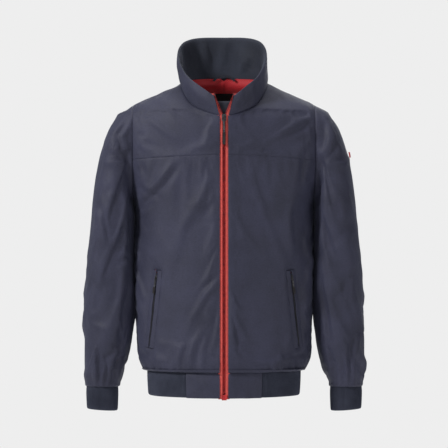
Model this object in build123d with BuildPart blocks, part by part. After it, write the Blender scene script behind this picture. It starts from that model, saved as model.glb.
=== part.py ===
from build123d import *
from math import acos, asin, cos, degrees, radians, sin
import os

# A light zipped blouson jacket for sailing, a man's size M, filled out as if worn.
# Millimetres. The front faces -Y, the wearer's left is +X and +Z is up.
# The origin is the middle of the neck opening, level with the back neck seam and in the plane of the
# side seams.

# Overall sizes
HEM_Z = -709                    # bottom edge of the hem, which is the back length below the neck seam
HEM_SEAM_Z = -649               # seam between the body fabric and the hem
FRONT_YOKE_Z = -178             # seam below the front yoke
BACK_YOKE_Z = -150              # seam below the back yoke
ARMHOLE_X = 203                 # plane in which the sleeve is set in
NECKLINE_Z = -88                # where the collar meets the front zip
SHOULDER_TOP_Z = -16            # top of the front yoke at the neck
BACK_TOP_Z = -14                # top of the back yoke at the neck
LINING_TOP_Z = -24
SPLIT = 0.2                     # half the gap between the back and the two front halves
JOIN = 0.05                     # half the gap between neighbouring cloth panels

# Directions along Y, and the two halves of the garment with their signs of X
FRONT = -1
BACK = 1
SIDES = [("left", 1), ("right", -1)]

# Cloth layers, as depths below the outer surface
SHELL = (0, 1.6)
HEM_CLOTH = (0, 2)
RIB = (1.5, 4.5)
POCKET_BAG = (2.6, 4.4)
LINING = (5, 6.2)
LABEL = (6.5, 7.3)
FLAP = (8, 9.2)

# The front edge is a straight line, which the zip follows
FRONT_TOP_Y = -115              # at NECKLINE_Z
FRONT_HEM_Y = -142              # at HEM_Z


def front_y(z):
    """The Y of the centre front at a height."""
    return FRONT_TOP_Y + (FRONT_HEM_Y - FRONT_TOP_Y) * (NECKLINE_Z - z) / (NECKLINE_Z - HEM_Z)


# The body's horizontal sections: height, half width, centre front, centre back, and how much wider a
# layer's depth is when it is measured level, because the shoulders slope
TORSO = [
    (-8, 99, -31, 69, 2.4),
    (-25, 132, -52, 81, 2.4),
    (-45, 178, -72, 92, 2.4),
    (-66, 222, -93, 101, 1.7),
    (-80, 233, -107, 106, 1.3),
    (NECKLINE_Z, 237, FRONT_TOP_Y, 108, 1.1),
    (-93, 237, front_y(-93), 110, 1),
    (-130, 237, front_y(-130), 119, 1),
    (-190, 227, front_y(-190), 129, 1),
    (-250, 209, front_y(-250), 134, 1),
    (-290, 198, front_y(-290), 135, 1),
    (-400, 195, front_y(-400), 130, 1),
    (-600, 195, front_y(-600), 121, 1),
    (-640, 187, front_y(-640), 114, 1),
    (HEM_Z, 172, FRONT_HEM_Y, 108, 1),
]

# The collar's tilted rings: front point (y, z), back point (y, z), half width
COLLAR = [
    ((-113, -84), (65, 1), 90),
    ((-118, -42), (80, 93), 104),
]
COLLAR_OUTER = (0, 1.4)
COLLAR_INNER = (2.8, 4.2)
NECK_CLEAR = 8                  # from the collar to the edge of the neck hole
FRONT_EDGE_GAP = 3.2            # from the zip tape to the front edge of the collar

# The blank neck label and the hanger loop at the back of the neck
LABEL_SPAN = (73, 107)          # angles, of which 90 is the centre back
LABEL_Z = (-66, -30)
LOOP_Y = 54
LOOP_WIDTH = 48
LOOP_RISE = 12
LOOP_TAPE = (2, 5)

# The left sleeve's sections: the end nearest the body (x, z), the end furthest from it, half depth
SLEEVE = [
    ((203.6, -272), (203.6, -64), 60),
    ((203.9, -279), (248, -88), 68),
    ((204.2, -286), (279, -158), 74),
    ((204.5, -293), (297, -254), 77),
    ((203.5, -330), (304, -328), 76),
    ((201.5, -430), (311, -430), 68),
    ((201.5, -530), (316, -530), 62),
    ((209, -600), (317, -600), 57),
    ((223, -648), (317, -648), 49),
    ((237.5, -683), (310.5, -683), 37),
]
SLEEVE_SHELL = (0, 1.6)
SLEEVE_LINING = (3.2, 4.4)
SLEEVE_SEAM = 0.3               # half the angle of the gap along the sleeve seam, in degrees
TAB_CENTRE = (279, -46, -171)   # the small tab on the sleeve, facing outwards and a little up and forward
TAB_TURN = 24
TAB_TILT = 10
TAB_SIZE = (7, 12)
TAB_THICKNESS = 1
CUFF_X = 274
CUFF_TOP_Z = -683.3
CUFF_LENGTH = 58
CUFF_OUTER_R = 36.5
CUFF_INNER_R = 31

# The front zip, in its own plane: X across, Y up the zip from the neckline, Z out of the cloth
PANEL_EDGE = 9.3                # from the centre line to the edge of the front panel
BAND_X = 83                     # from the centre line to the end of the cloth hem band
FACING_X = 62                   # from the centre line to the inner edge of the facing
TAPE_OUTER = 15
TAPE_DEPTH = (-3.4, -2.6)
TEETH_WIDTH = (0.15, 3.1)
TEETH_DEPTH = (-4, -1)
ZIP_LENGTH = 611                # below the neckline
ZIP_TOP = 50                    # above the neckline, where the zip lies open
V_SLOPE = 0.4                   # how fast the open ends part
STOP_HEIGHT = 4
STOP_DEPTH = (-3.6, -1.2)
SLIDER_S = -3                   # height of the slider's middle
SLIDER_SIZE = (10, 16)
SLIDER_FACES = (-0.5, -4.5)     # where its two plates begin
PLATE_THICKNESS = 1.1
BACK_PLATE_THICKNESS = 1
PLATE_CORNER = 2.5
POST = (0.9, 1.4)
BRIDGE_HEIGHT = 3
BRIDGE_EYE = 1.6                # height of the bridge's opening
BRIDGE_FOOT = 1.5               # length of each of its feet
PULL_BAR_S = -2.5               # height of the pull's eye
PULL_BAR_OUT = 2
PULL_LENGTH = 34
PULL_WIDTH = 5
PULL_THICKNESS = 1.2
PULL_EYE = 7.5                  # length of the eye
GRIP_LENGTH = 27
GRIP_THICKNESS = 3.4
BOX_SIZE = (11, 12)
BOX_DEPTH = 6
BOX_GAP = 0.2                   # from the zip's end to the box
PIN_X = (-2.2, -0.5)
PIN_LENGTH = 7.8
PIN_DEPTH = 1.8
FLAP_X = (-20, 8)
FLAP_ENDS = (10, 20)            # above the zip's end and above the neckline

# The hand pockets, each with a zip in a welt
POCKET_TOP = (148, -430)
POCKET_BOTTOM = (166, -596)
POCKET_WIDTH = 16
WELT_MOUTH = 4.5                # half the width of the pocket's mouth
WELT_END = 4                    # from the mouth to the welt's end
WELT_DEPTH = (-1.4, 1.2)
POCKET_CLEAR = 0.2              # between the welt and the edge of its slot
POCKET_TAPE_DEPTH = (-1.2, -0.5)
POCKET_COIL_TOP = 0.4
POCKET_COIL_HALF = 1.4
POCKET_SLIDER_SIZE = (7, 11)
POCKET_SLIDER_DOWN = 10         # from the zip's end to the slider's middle
POCKET_SLIDER_OUT = 0.7
POCKET_PULL_OUT = 3.2
POCKET_PULL_LENGTH = 22
POCKET_PULL_WIDTH = 4
POCKET_GRIP_LENGTH = 15
POCKET_BAG_X = (45, 178)

os.makedirs("parts", exist_ok=True)


def between(z):
    """The body's section at a height, read along the straight lines between its rings."""
    upper, lower = next(pair for pair in zip(TORSO, TORSO[1:]) if pair[0][0] >= z >= pair[1][0])
    share = (upper[0] - z) / (upper[0] - lower[0])
    return [z] + [a + (b - a) * share for a, b in zip(upper[1:], lower[1:])]


def rings(low, high):
    """The body's sections from one height to another."""
    inside = [ring for ring in TORSO if low + 1 < ring[0] < high - 1]
    return [between(high)] + inside + [between(low)]


def curved_strip(plane, centre, radii, angles):
    """The edges of cloth seen on edge: an outer and an inner elliptical arc, and their two end lines."""
    with BuildLine(plane):
        outer, inner = [
            EllipticalCenterArc((0, centre), *radius, start_angle=start, arc_size=end - start)
            for radius, (start, end) in zip(radii, angles)
        ]
    return [
        outer.edge(),
        Edge.make_line(outer @ 0, inner @ 0),
        inner.edge(),
        Edge.make_line(outer @ 1, inner @ 1),
    ]


def lofted(sections):
    """A solid whose walls run straight from each section's edges to those of the next section."""
    walls = [Face.make_surface_from_curves(*section[::2]) for section in (sections[0], sections[-1])]
    for near, far in zip(sections, sections[1:]):
        walls += [Face.make_surface_from_curves(*pair) for pair in zip(near, far)]
    return Part() + Solid(Shell(walls))


def neck_half_width(z, y):
    """Half the width of the neck hole where it passes a point's height and depth."""
    (front, low), (back, high), half_width = COLLAR[0]
    middle, half_length = (front + back) / 2, (back - front) / 2
    inside = 1 - ((y - middle) / (half_length + NECK_CLEAR)) ** 2
    return (half_width + NECK_CLEAR) * max(inside, 0) ** 0.5


def start_angle(ring, reach, inner_x, way):
    """The angle at which a body layer begins: at a distance from the centre line, or at the neck hole."""
    z, half_width, front, back = ring[:4]
    middle, half_depth = (front + back) / 2, (back - front) / 2
    angle = degrees(acos(inner_x / (half_width - reach)))
    if z >= NECKLINE_Z:
        while angle > 0:
            x = (half_width - reach) * cos(radians(angle))
            y = middle + way * (half_depth - reach) * sin(radians(angle))
            if x > neck_half_width(z, y):
                break
            angle -= 0.25
    return angle


def end_angle(ring, reach, outer_x, way):
    """The angle at which a body layer ends: at the plane of the side seams or at the armhole."""
    half_width, front, back = ring[1:4]
    middle, half_depth = (front + back) / 2 - way * SPLIT, (back - front) / 2
    side = degrees(asin(-way * middle / (half_depth - reach)))
    if half_width - reach > outer_x:
        return max(side, degrees(acos(outer_x / (half_width - reach))))
    return side


def front_section(ring, layer, inner_x, outer_x):
    """One section of the wearer's left half of the front."""
    height, half_width, front, back, slope = ring
    half_depth = (back - front) / 2
    reaches = [depth * slope for depth in layer]
    starts = [start_angle(ring, reach, inner_x, FRONT) for reach in reaches]
    ends = [end_angle(ring, reach, outer_x, FRONT) for reach in reaches]
    spans = [(-start, -end) for start, end in zip(starts, ends)]
    radii = [(half_width - reach, half_depth - reach) for reach in reaches]
    return curved_strip(Plane.XY.offset(height), (front + back) / 2, radii, spans)


def front_layer(layer, low, high, inner_x, outer_x):
    """A layer of the wearer's left half of the front."""
    return lofted([front_section(ring, layer, inner_x, outer_x) for ring in rings(low, high)])


def back_section(ring, layer, span=None, outer_x=None):
    """One section of the whole back, between two angles or from side seam to side seam."""
    height, half_width, front, back, slope = ring
    half_depth = (back - front) / 2
    reaches = [depth * slope for depth in layer]
    sides = [end_angle(ring, reach, outer_x, BACK) for reach in reaches] if outer_x else []
    spans = [(side, 180 - side) for side in sides] or [span, span]
    radii = [(half_width - reach, half_depth - reach) for reach in reaches]
    return curved_strip(Plane.XY.offset(height), (front + back) / 2, radii, spans)


def back_layer(layer, low, high, outer_x):
    """A layer of the back, in one piece from side seam to side seam, below the neck hole."""
    return lofted([back_section(ring, layer, outer_x=outer_x) for ring in rings(low, high)])


def collar_layer(layer, starts, ends):
    """A layer of the collar between two angles, each given at the lower and at the upper ring."""
    sections = []
    for ((front, low), (back, high), half_width), start, end in zip(COLLAR, starts, ends):
        along = Vector(0, back - front, high - low)
        ring = Plane(
            origin=(0, (front + back) / 2, (low + high) / 2),
            x_dir=(1, 0, 0),
            z_dir=Vector(1, 0, 0).cross(along),
        )
        radii = [(half_width - depth, along.length / 2 - depth) for depth in layer]
        sections.append(curved_strip(ring, 0, radii, [(start, end)] * 2))
    return lofted(sections)


def sleeve_layer(layer):
    """A layer of the left sleeve: one panel, rolled up and closed along the seam nearest the body."""
    sections = []
    for (near_x, near_z), (far_x, far_z), half_depth in SLEEVE:
        across = Vector(far_x - near_x, 0, far_z - near_z)
        ring = Plane(
            origin=((near_x + far_x) / 2, 0, (near_z + far_z) / 2),
            x_dir=across,
            z_dir=across.cross(Vector(0, -1, 0)),
        )
        radii = [(across.length / 2 - depth, half_depth - depth) for depth in layer]
        sections.append(curved_strip(ring, 0, radii, [(SLEEVE_SEAM - 180, 180 - SLEEVE_SEAM)] * 2))
    return lofted(sections)


def finish(part, name):
    """Name a piece and write it."""
    part.label = name
    export_step(part, "parts/" + name + ".step")


def for_side(part, side):
    """A piece modelled for the wearer's left, or its mirror image for the right."""
    with BuildPart() as piece:
        add(part)
        if side < 0:
            mirror(about=Plane.YZ, mode=Mode.REPLACE)
    return piece.part


ZIP_PLANE = Plane(
    origin=(0, FRONT_TOP_Y, NECKLINE_Z),
    x_dir=(1, 0, 0),
    z_dir=(0, HEM_Z - NECKLINE_Z, FRONT_TOP_Y - FRONT_HEM_Y),
)

# Back of the body and the back of the collar
finish(back_layer(SHELL, HEM_SEAM_Z + JOIN, BACK_YOKE_Z - JOIN, ARMHOLE_X), "back_panel")
finish(back_layer(SHELL, BACK_YOKE_Z + JOIN, BACK_TOP_Z, ARMHOLE_X), "back_yoke")
finish(back_layer(LINING, HEM_SEAM_Z + JOIN, LINING_TOP_Z, ARMHOLE_X - 2), "back_lining")
finish(back_layer(RIB, HEM_Z, HEM_SEAM_Z - JOIN, ARMHOLE_X), "rib_hem_back")
COLLAR_SIDE = [degrees(asin(-(front[0] + back[0]) / (back[0] - front[0]))) for front, back, width in COLLAR]
back_starts = [angle + 0.15 for angle in COLLAR_SIDE]
back_ends = [180 - angle for angle in back_starts]
finish(collar_layer(COLLAR_OUTER, back_starts, back_ends), "collar_outer_back")
finish(collar_layer(COLLAR_INNER, back_starts, back_ends), "collar_inner_back")

# Blank label sewn to the back lining
finish(lofted([back_section(ring, LABEL, span=LABEL_SPAN) for ring in rings(*LABEL_Z)]), "neck_label")

# Hanger loop: a flat tape sewn in at the back neck seam
with BuildPart() as hanger_loop:
    with BuildLine() as loop_path:
        ThreePointArc((-LOOP_WIDTH / 2, LOOP_Y, 0), (0, LOOP_Y, LOOP_RISE), (LOOP_WIDTH / 2, LOOP_Y, 0))
    with BuildSketch(Plane(origin=loop_path.line @ 0, x_dir=(0, 1, 0), z_dir=loop_path.line % 0)):
        Rectangle(*LOOP_TAPE)
    sweep()
finish(hanger_loop.part, "hanger_loop")

# The hand pocket's plane on the wearer's left: X across, Y up the welt, Z out of the cloth


def surface_point(x, z):
    """A point of the body's outer surface in front."""
    half_width, front, back = between(z)[1:4]
    return Vector(x, (front + back) / 2 - (back - front) / 2 * (1 - (x / half_width) ** 2) ** 0.5, z)


POCKET_START = surface_point(*POCKET_TOP)
POCKET_END = surface_point(*POCKET_BOTTOM)
POCKET_LENGTH = (POCKET_START - POCKET_END).length
POCKET_MIDDLE = surface_point((POCKET_TOP[0] + POCKET_BOTTOM[0]) / 2, (POCKET_TOP[1] + POCKET_BOTTOM[1]) / 2)
POCKET_UP = (POCKET_START - POCKET_END).normalized()
POCKET_ACROSS = surface_point(POCKET_MIDDLE.X + 5, POCKET_MIDDLE.Z) - surface_point(
    POCKET_MIDDLE.X - 5, POCKET_MIDDLE.Z
)
POCKET_OUT = POCKET_ACROSS.cross(POCKET_UP)
POCKET_PLANE = Plane(origin=POCKET_MIDDLE, x_dir=POCKET_UP.cross(POCKET_OUT), z_dir=POCKET_OUT)
with BuildPart() as pocket_cutter:
    with BuildSketch(POCKET_PLANE):
        Rectangle(POCKET_WIDTH, POCKET_LENGTH)
    extrude(amount=8, both=True)


def plate(plane, low, high, depths):
    """A rectangular plate in a plane, between two corners and two depths."""
    with BuildPart() as piece:
        with BuildSketch(plane.offset(depths[0])):
            with Locations(((low[0] + high[0]) / 2, (low[1] + high[1]) / 2)):
                Rectangle(high[0] - low[0], high[1] - low[1])
        extrude(amount=depths[1] - depths[0])
    return piece.part


def zip_strip(inner, outer, depths, top):
    """A strip of one half of the front zip: straight to the neckline and then parting from its partner."""
    with BuildPart() as piece:
        with BuildSketch(ZIP_PLANE.offset(depths[0])):
            with BuildLine():
                Polyline(
                    (inner, -ZIP_LENGTH),
                    (outer, -ZIP_LENGTH),
                    (outer, 0),
                    (outer + V_SLOPE * top, top),
                    (inner + V_SLOPE * top, top),
                    (inner, 0),
                    close=True,
                )
            make_face()
        extrude(amount=depths[1] - depths[0])
    return piece.part


def pull(plane, bar_s, out, length, grip_length, width):
    """A pull tab hung on its slider by a bar, and its moulded grip, in a zip's plane. Returns both."""
    top = bar_s + PULL_THICKNESS
    with BuildPart() as tab:
        with BuildSketch(plane.offset(out - PULL_THICKNESS / 2)):
            with Locations((0, top - length / 2)):
                RectangleRounded(width, length, 1.2)
            with Locations((0, bar_s + PULL_THICKNESS / 2 - PULL_EYE / 2)):
                Rectangle(width - 2, PULL_EYE, mode=Mode.SUBTRACT)
        extrude(amount=PULL_THICKNESS)
    with BuildPart() as grip:
        with BuildSketch(plane.offset(out - GRIP_THICKNESS / 2)):
            with Locations((0, top - length - 2 * JOIN - grip_length / 2)):
                RectangleRounded(width + 1.6, grip_length, 2)
        extrude(amount=GRIP_THICKNESS)
    return tab.part, grip.part


def slider(plane, middle, size, front, back=None):
    """A zip slider: a front plate with a bridge for the pull, and a back plate joined to it by a post."""
    width, length = size
    bridge = 0.09 * width
    bridge_plane = Plane(
        origin=plane.from_local_coords((-bridge, 0, 0)), x_dir=plane.y_dir, z_dir=plane.x_dir
    )
    with BuildPart() as piece:
        with BuildSketch(plane.offset(front)):
            with Locations((0, middle)):
                RectangleRounded(width, length, PLATE_CORNER)
        extrude(amount=PLATE_THICKNESS)
        with BuildSketch(bridge_plane):
            with Locations((middle + 0.5, front + 1 + BRIDGE_HEIGHT / 2)):
                Rectangle(length - 5, BRIDGE_HEIGHT)
                Rectangle(length - 5 - 2 * BRIDGE_FOOT, BRIDGE_EYE, mode=Mode.SUBTRACT)
        extrude(amount=2 * bridge)
        if back is not None:
            with BuildSketch(plane.offset(back)):
                with Locations((0, middle)):
                    RectangleRounded(width, length, PLATE_CORNER)
            extrude(amount=-BACK_PLATE_THICKNESS)
            with BuildSketch(plane.offset(back)):
                with Locations((-0.5, middle + length / 2 - 1.1)):
                    Rectangle(*POST)
            extrude(amount=front - back)
    return piece.part


# Each half of the front, modelled for the wearer's left
COLLAR_EDGE = [
    TAPE_OUTER + FRONT_EDGE_GAP + V_SLOPE * (front[1] - NECKLINE_Z) for front, back, width in COLLAR
]
front_starts = [degrees(asin(edge / width)) - 90 for edge, (front, back, width) in zip(COLLAR_EDGE, COLLAR)]
front_ends = [angle - 0.15 for angle in COLLAR_SIDE]
for name, side in SIDES:
    front = {
        "front_panel": front_layer(
            SHELL, HEM_SEAM_Z + JOIN, FRONT_YOKE_Z - JOIN, PANEL_EDGE, ARMHOLE_X
        ),
        "front_yoke": front_layer(SHELL, FRONT_YOKE_Z + JOIN, SHOULDER_TOP_Z, PANEL_EDGE, ARMHOLE_X),
        "hem_band": front_layer(HEM_CLOTH, HEM_Z, HEM_SEAM_Z - JOIN, PANEL_EDGE, BAND_X),
        "rib_hem": front_layer(RIB, HEM_Z, HEM_SEAM_Z - JOIN, BAND_X + JOIN, ARMHOLE_X),
        "facing": front_layer(LINING, HEM_SEAM_Z + JOIN, NECKLINE_Z - 1, TAPE_OUTER, FACING_X),
        "front_lining": front_layer(
            LINING, HEM_SEAM_Z + JOIN, LINING_TOP_Z, FACING_X + JOIN, ARMHOLE_X - 2
        ),
        "pocket_bag": front_layer(POCKET_BAG, HEM_SEAM_Z + 8, POCKET_TOP[1] + 10, *POCKET_BAG_X),
        "collar_outer": collar_layer(COLLAR_OUTER, front_starts, front_ends),
        "collar_inner": collar_layer(COLLAR_INNER, front_starts, front_ends),
        "zip_tape": zip_strip(TEETH_WIDTH[1] + JOIN, TAPE_OUTER - 0.2, TAPE_DEPTH, ZIP_TOP),
        "zip_teeth": zip_strip(*TEETH_WIDTH, TEETH_DEPTH, ZIP_TOP - STOP_HEIGHT),
    }
    with BuildPart() as cut_panel:
        add(front["front_panel"])
        add(pocket_cutter.part, mode=Mode.SUBTRACT)
    front["front_panel"] = cut_panel.part
    half_width, half_length = [size / 2 - POCKET_CLEAR for size in (POCKET_WIDTH, POCKET_LENGTH)]
    with BuildPart() as welt:
        with BuildSketch(POCKET_PLANE.offset(WELT_DEPTH[0])):
            Rectangle(2 * half_width, 2 * half_length)
            Rectangle(2 * WELT_MOUTH, 2 * (half_length - WELT_END), mode=Mode.SUBTRACT)
        extrude(amount=WELT_DEPTH[1] - WELT_DEPTH[0])
    front["pocket_welt"] = welt.part
    zip_half, zip_end = WELT_MOUTH - JOIN, half_length - WELT_END - JOIN
    coil_depth = (POCKET_TAPE_DEPTH[1], POCKET_COIL_TOP)
    with BuildPart() as pocket_zip:
        add(plate(POCKET_PLANE, (-zip_half, -zip_end), (zip_half, zip_end), POCKET_TAPE_DEPTH))
        add(plate(POCKET_PLANE, (-POCKET_COIL_HALF, -zip_end), (POCKET_COIL_HALF, zip_end), coil_depth))
    front["pocket_zip"] = pocket_zip.part
    slider_at = zip_end - POCKET_SLIDER_DOWN
    front["pocket_slider"] = slider(POCKET_PLANE, slider_at, POCKET_SLIDER_SIZE, POCKET_SLIDER_OUT)
    tab, grip = pull(
        POCKET_PLANE,
        slider_at + 0.5,
        POCKET_PULL_OUT,
        POCKET_PULL_LENGTH,
        POCKET_GRIP_LENGTH,
        POCKET_PULL_WIDTH,
    )
    front["pocket_pull"] = tab
    front["pocket_grip"] = grip
    for piece, part in front.items():
        finish(for_side(part, side), piece + "_" + name)

    finish(for_side(sleeve_layer(SLEEVE_SHELL), side), "sleeve_" + name)
    finish(for_side(sleeve_layer(SLEEVE_LINING), side), "sleeve_lining_" + name)
    with BuildPart() as cuff:
        with BuildSketch(Plane.XY.offset(CUFF_TOP_Z - CUFF_LENGTH)):
            with Locations((CUFF_X, 0)):
                Circle(CUFF_OUTER_R)
                Circle(CUFF_INNER_R, mode=Mode.SUBTRACT)
        extrude(amount=CUFF_LENGTH)
    finish(for_side(cuff.part, side), "rib_cuff_" + name)

# The bottom of the zip: a box on the left half, open towards the pin on the right half
box_top = -ZIP_LENGTH - BOX_GAP
with BuildPart() as zip_box:
    with BuildSketch(ZIP_PLANE.offset(TEETH_DEPTH[0] - 1.5)):
        with Locations((0.5, box_top - BOX_SIZE[1] / 2)):
            RectangleRounded(*BOX_SIZE, 1)
    extrude(amount=BOX_DEPTH)
    with BuildSketch(ZIP_PLANE.offset(TEETH_DEPTH[0] + 0.1)):
        with Locations((-2.5, box_top - BOX_SIZE[1] / 2 + 2)):
            Rectangle(6, BOX_SIZE[1])
    extrude(amount=PIN_DEPTH + 1, mode=Mode.SUBTRACT)
finish(zip_box.part, "zip_box")
pin_low, pin_high = (PIN_X[0], box_top - PIN_LENGTH - BOX_GAP), (PIN_X[1], -ZIP_LENGTH - JOIN)
pin_back = TEETH_DEPTH[0] + 0.6
finish(plate(ZIP_PLANE, pin_low, pin_high, (pin_back, pin_back + PIN_DEPTH)), "zip_pin")

# Top stops, the slider, its pull and the storm flap behind the zip
for name, side in SIDES:
    near, far = [edge + V_SLOPE * (ZIP_TOP - STOP_HEIGHT / 2) for edge in (0.3, TEETH_WIDTH[1] - 1)]
    stop = plate(ZIP_PLANE, (near, ZIP_TOP - STOP_HEIGHT + 0.1), (far, ZIP_TOP), STOP_DEPTH)
    finish(for_side(stop, side), "zip_top_stop_" + name)
finish(slider(ZIP_PLANE, SLIDER_S, SLIDER_SIZE, *SLIDER_FACES), "zip_slider")
zip_tab, zip_grip = pull(ZIP_PLANE, PULL_BAR_S, PULL_BAR_OUT, PULL_LENGTH, GRIP_LENGTH, PULL_WIDTH)
finish(zip_tab, "zip_pull")
finish(zip_grip, "zip_grip")
flap_low, flap_high = (FLAP_X[0], FLAP_ENDS[0] - ZIP_LENGTH), (FLAP_X[1], FLAP_ENDS[1])
finish(plate(ZIP_PLANE, flap_low, flap_high, (-FLAP[1], -FLAP[0])), "storm_flap")

# A small plain tab sewn on the wearer's left sleeve
tab_out = Vector(1, 0, 0).rotate(Axis.Y, -TAB_TILT).rotate(Axis.Z, -TAB_TURN)
with BuildPart() as sleeve_tab:
    with BuildSketch(Plane(origin=TAB_CENTRE, x_dir=Vector(0, 0, 1).cross(tab_out), z_dir=tab_out)):
        Rectangle(*TAB_SIZE)
    extrude(amount=TAB_THICKNESS)
finish(sleeve_tab.part, "sleeve_tab")
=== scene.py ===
import math

import bmesh
import bpy
import numpy as np
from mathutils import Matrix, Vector


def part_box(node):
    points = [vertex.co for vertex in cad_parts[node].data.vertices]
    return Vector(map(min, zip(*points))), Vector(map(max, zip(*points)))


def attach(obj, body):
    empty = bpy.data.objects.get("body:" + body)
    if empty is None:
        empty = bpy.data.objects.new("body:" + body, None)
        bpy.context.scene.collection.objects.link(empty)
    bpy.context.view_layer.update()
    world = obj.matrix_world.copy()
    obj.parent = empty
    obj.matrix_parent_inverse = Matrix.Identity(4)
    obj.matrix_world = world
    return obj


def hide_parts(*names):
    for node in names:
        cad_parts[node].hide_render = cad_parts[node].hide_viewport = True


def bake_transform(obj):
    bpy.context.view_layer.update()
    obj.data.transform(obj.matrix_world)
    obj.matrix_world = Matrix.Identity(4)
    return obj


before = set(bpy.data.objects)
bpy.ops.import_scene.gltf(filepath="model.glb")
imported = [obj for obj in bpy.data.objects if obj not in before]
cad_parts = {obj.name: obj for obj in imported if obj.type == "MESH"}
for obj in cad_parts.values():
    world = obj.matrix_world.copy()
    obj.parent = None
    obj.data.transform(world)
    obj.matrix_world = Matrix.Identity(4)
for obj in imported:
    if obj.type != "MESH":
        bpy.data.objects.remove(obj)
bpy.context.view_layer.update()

MM = 0.001
SIDES = (("left", 1), ("right", -1))
LEVEL = np.array([1.0, 1.0, 0.0])


# ---------------------------------------------------------------- curves and noise
def run_lengths(points, axis=0):
    """Length run along one axis of an array of points, from 0 at its first point."""
    steps = np.linalg.norm(np.diff(points, axis=axis), axis=-1)
    start = np.zeros_like(np.take(steps, [0], axis=axis))
    return np.concatenate([start, np.cumsum(steps, axis=axis)], axis=axis)


def cubic(knots, values, tangent, at):
    """Smooth curve through values at knots, with the given slopes there."""
    i = np.clip(np.searchsorted(knots, at, side="right") - 1, 0, len(knots) - 2)
    h = (knots[i + 1] - knots[i])[..., None]
    u = (at - knots[i])[..., None] / h
    return ((2 * u**3 - 3 * u**2 + 1) * values[i] + (u**3 - 2 * u**2 + u) * h * tangent[i]
            + (-2 * u**3 + 3 * u**2) * values[i + 1] + (u**3 - u**2) * h * tangent[i + 1])


def hermite(knots, values, at):
    """Smooth curve through values at knots, with slopes that do not overshoot."""
    step = np.diff(knots)[:, None]
    slope = np.diff(values, axis=0) / step
    tangent = np.zeros_like(values)
    tangent[0], tangent[-1] = slope[0], slope[-1]
    left, right = slope[:-1], slope[1:]
    same = (left * right) > 0
    w1 = 2 * step[1:] + step[:-1]
    w2 = step[1:] + 2 * step[:-1]
    safe_left = np.where(same, left, 1)
    safe_right = np.where(same, right, 1)
    tangent[1:-1] = np.where(same, (w1 + w2) / (w1 / safe_left + w2 / safe_right), 0)
    return cubic(knots, values, tangent, np.clip(at, knots[0], knots[-1]))


def catmull_knots(knots, values, at):
    """Smooth curve through values at knots, with slopes averaged from both sides."""
    h = np.diff(knots)
    slope = np.diff(values, axis=0) / h[:, None]
    tangent = np.zeros_like(values)
    tangent[0], tangent[-1] = slope[0], slope[-1]
    weight = (h[1:] / (h[1:] + h[:-1]))[:, None]
    tangent[1:-1] = slope[:-1] * weight + slope[1:] * (1 - weight)
    return cubic(knots, values, tangent, at)


def catmull(points, at):
    """Smooth curve through 3-D points; at runs from 0 to 1 along their chord lengths."""
    chord = run_lengths(points)
    return catmull_knots(chord / chord[-1], points, np.clip(at, 0, 1))


def smooth(u):
    """0 to 1 with level ends, as u goes from 0 to 1."""
    u = np.clip(u, 0, 1)
    return u * u * (3 - 2 * u)

def rounded(c, power):
    """A cosine with flatter or fuller shoulders."""
    return np.sign(c) * np.abs(c) ** power


def waves(points, seed, length, lean=0.0, spread=0.5, count=14):
    """Irregular soft undulation of about unit height: plane waves near one direction."""
    rng = np.random.default_rng(seed)
    total = np.zeros(points.shape[:-1])
    for _ in range(count):
        turn = lean + rng.normal(0, spread)
        k = 2 * math.pi / (length * math.exp(rng.normal(0, 0.3)))
        across = points[..., 0] * math.cos(turn) + points[..., 2] * math.sin(turn)
        along = points[..., 2] * math.cos(turn) * 0.22 + points[..., 1] * 0.5
        total = total + np.sin(k * (across + along) + rng.uniform(0, 6.28))
    return total / math.sqrt(count / 2)


def fold(points, line, width, depth, ridge=0.6, side=1.0):
    """A crease along a line of (x, z) points: a valley, with a raised lip on one side of it."""
    line = np.asarray(line, float)
    best = np.full(points.shape[:-1], 1e9)
    offset = np.zeros(points.shape[:-1])
    place = np.zeros(points.shape[:-1])
    seg = np.diff(line, axis=0)
    lengths = np.linalg.norm(seg, axis=1)
    whole = lengths.sum()
    run = 0.0
    px, pz = points[..., 0], points[..., 2]
    for (ax, az), (dx, dz), size in zip(line[:-1], seg, lengths):
        t = np.clip(((px - ax) * dx + (pz - az) * dz) / size**2, 0, 1)
        ex, ez = px - ax - t * dx, pz - az - t * dz
        dist = np.hypot(ex, ez)
        signed = (dx * ez - dz * ex) / size
        near = dist < best
        best = np.where(near, dist, best)
        offset = np.where(near, np.where(signed >= 0, dist, -dist), offset)
        place = np.where(near, (run + t * size) / whole, place)
        run += size
    envelope = np.sin(np.pi * np.clip(place, 0.02, 0.98)) ** 0.6
    q = offset * side
    valley = -np.exp(-(np.abs(q) / width) ** 1.6)
    lip = ridge * np.exp(-((q - 1.7 * width) / (1.3 * width)) ** 2)
    return depth * envelope * (valley + lip)


# ---------------------------------------------------------------- mesh building
def new_object(name, verts, faces, uvs=None):
    mesh = bpy.data.meshes.new(name)
    mesh.from_pydata([tuple(v) for v in verts], [], faces)
    mesh.update()
    obj = bpy.data.objects.new(name, mesh)
    bpy.context.scene.collection.objects.link(obj)
    mesh.polygons.foreach_set("use_smooth", [True] * len(mesh.polygons))
    if uvs is not None:
        layer = mesh.uv_layers.new(name="cloth")
        index = np.zeros(len(mesh.loops), int)
        mesh.loops.foreach_get("vertex_index", index)
        layer.data.foreach_set("uv", np.asarray(uvs, float)[index].ravel())
    return obj


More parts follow.
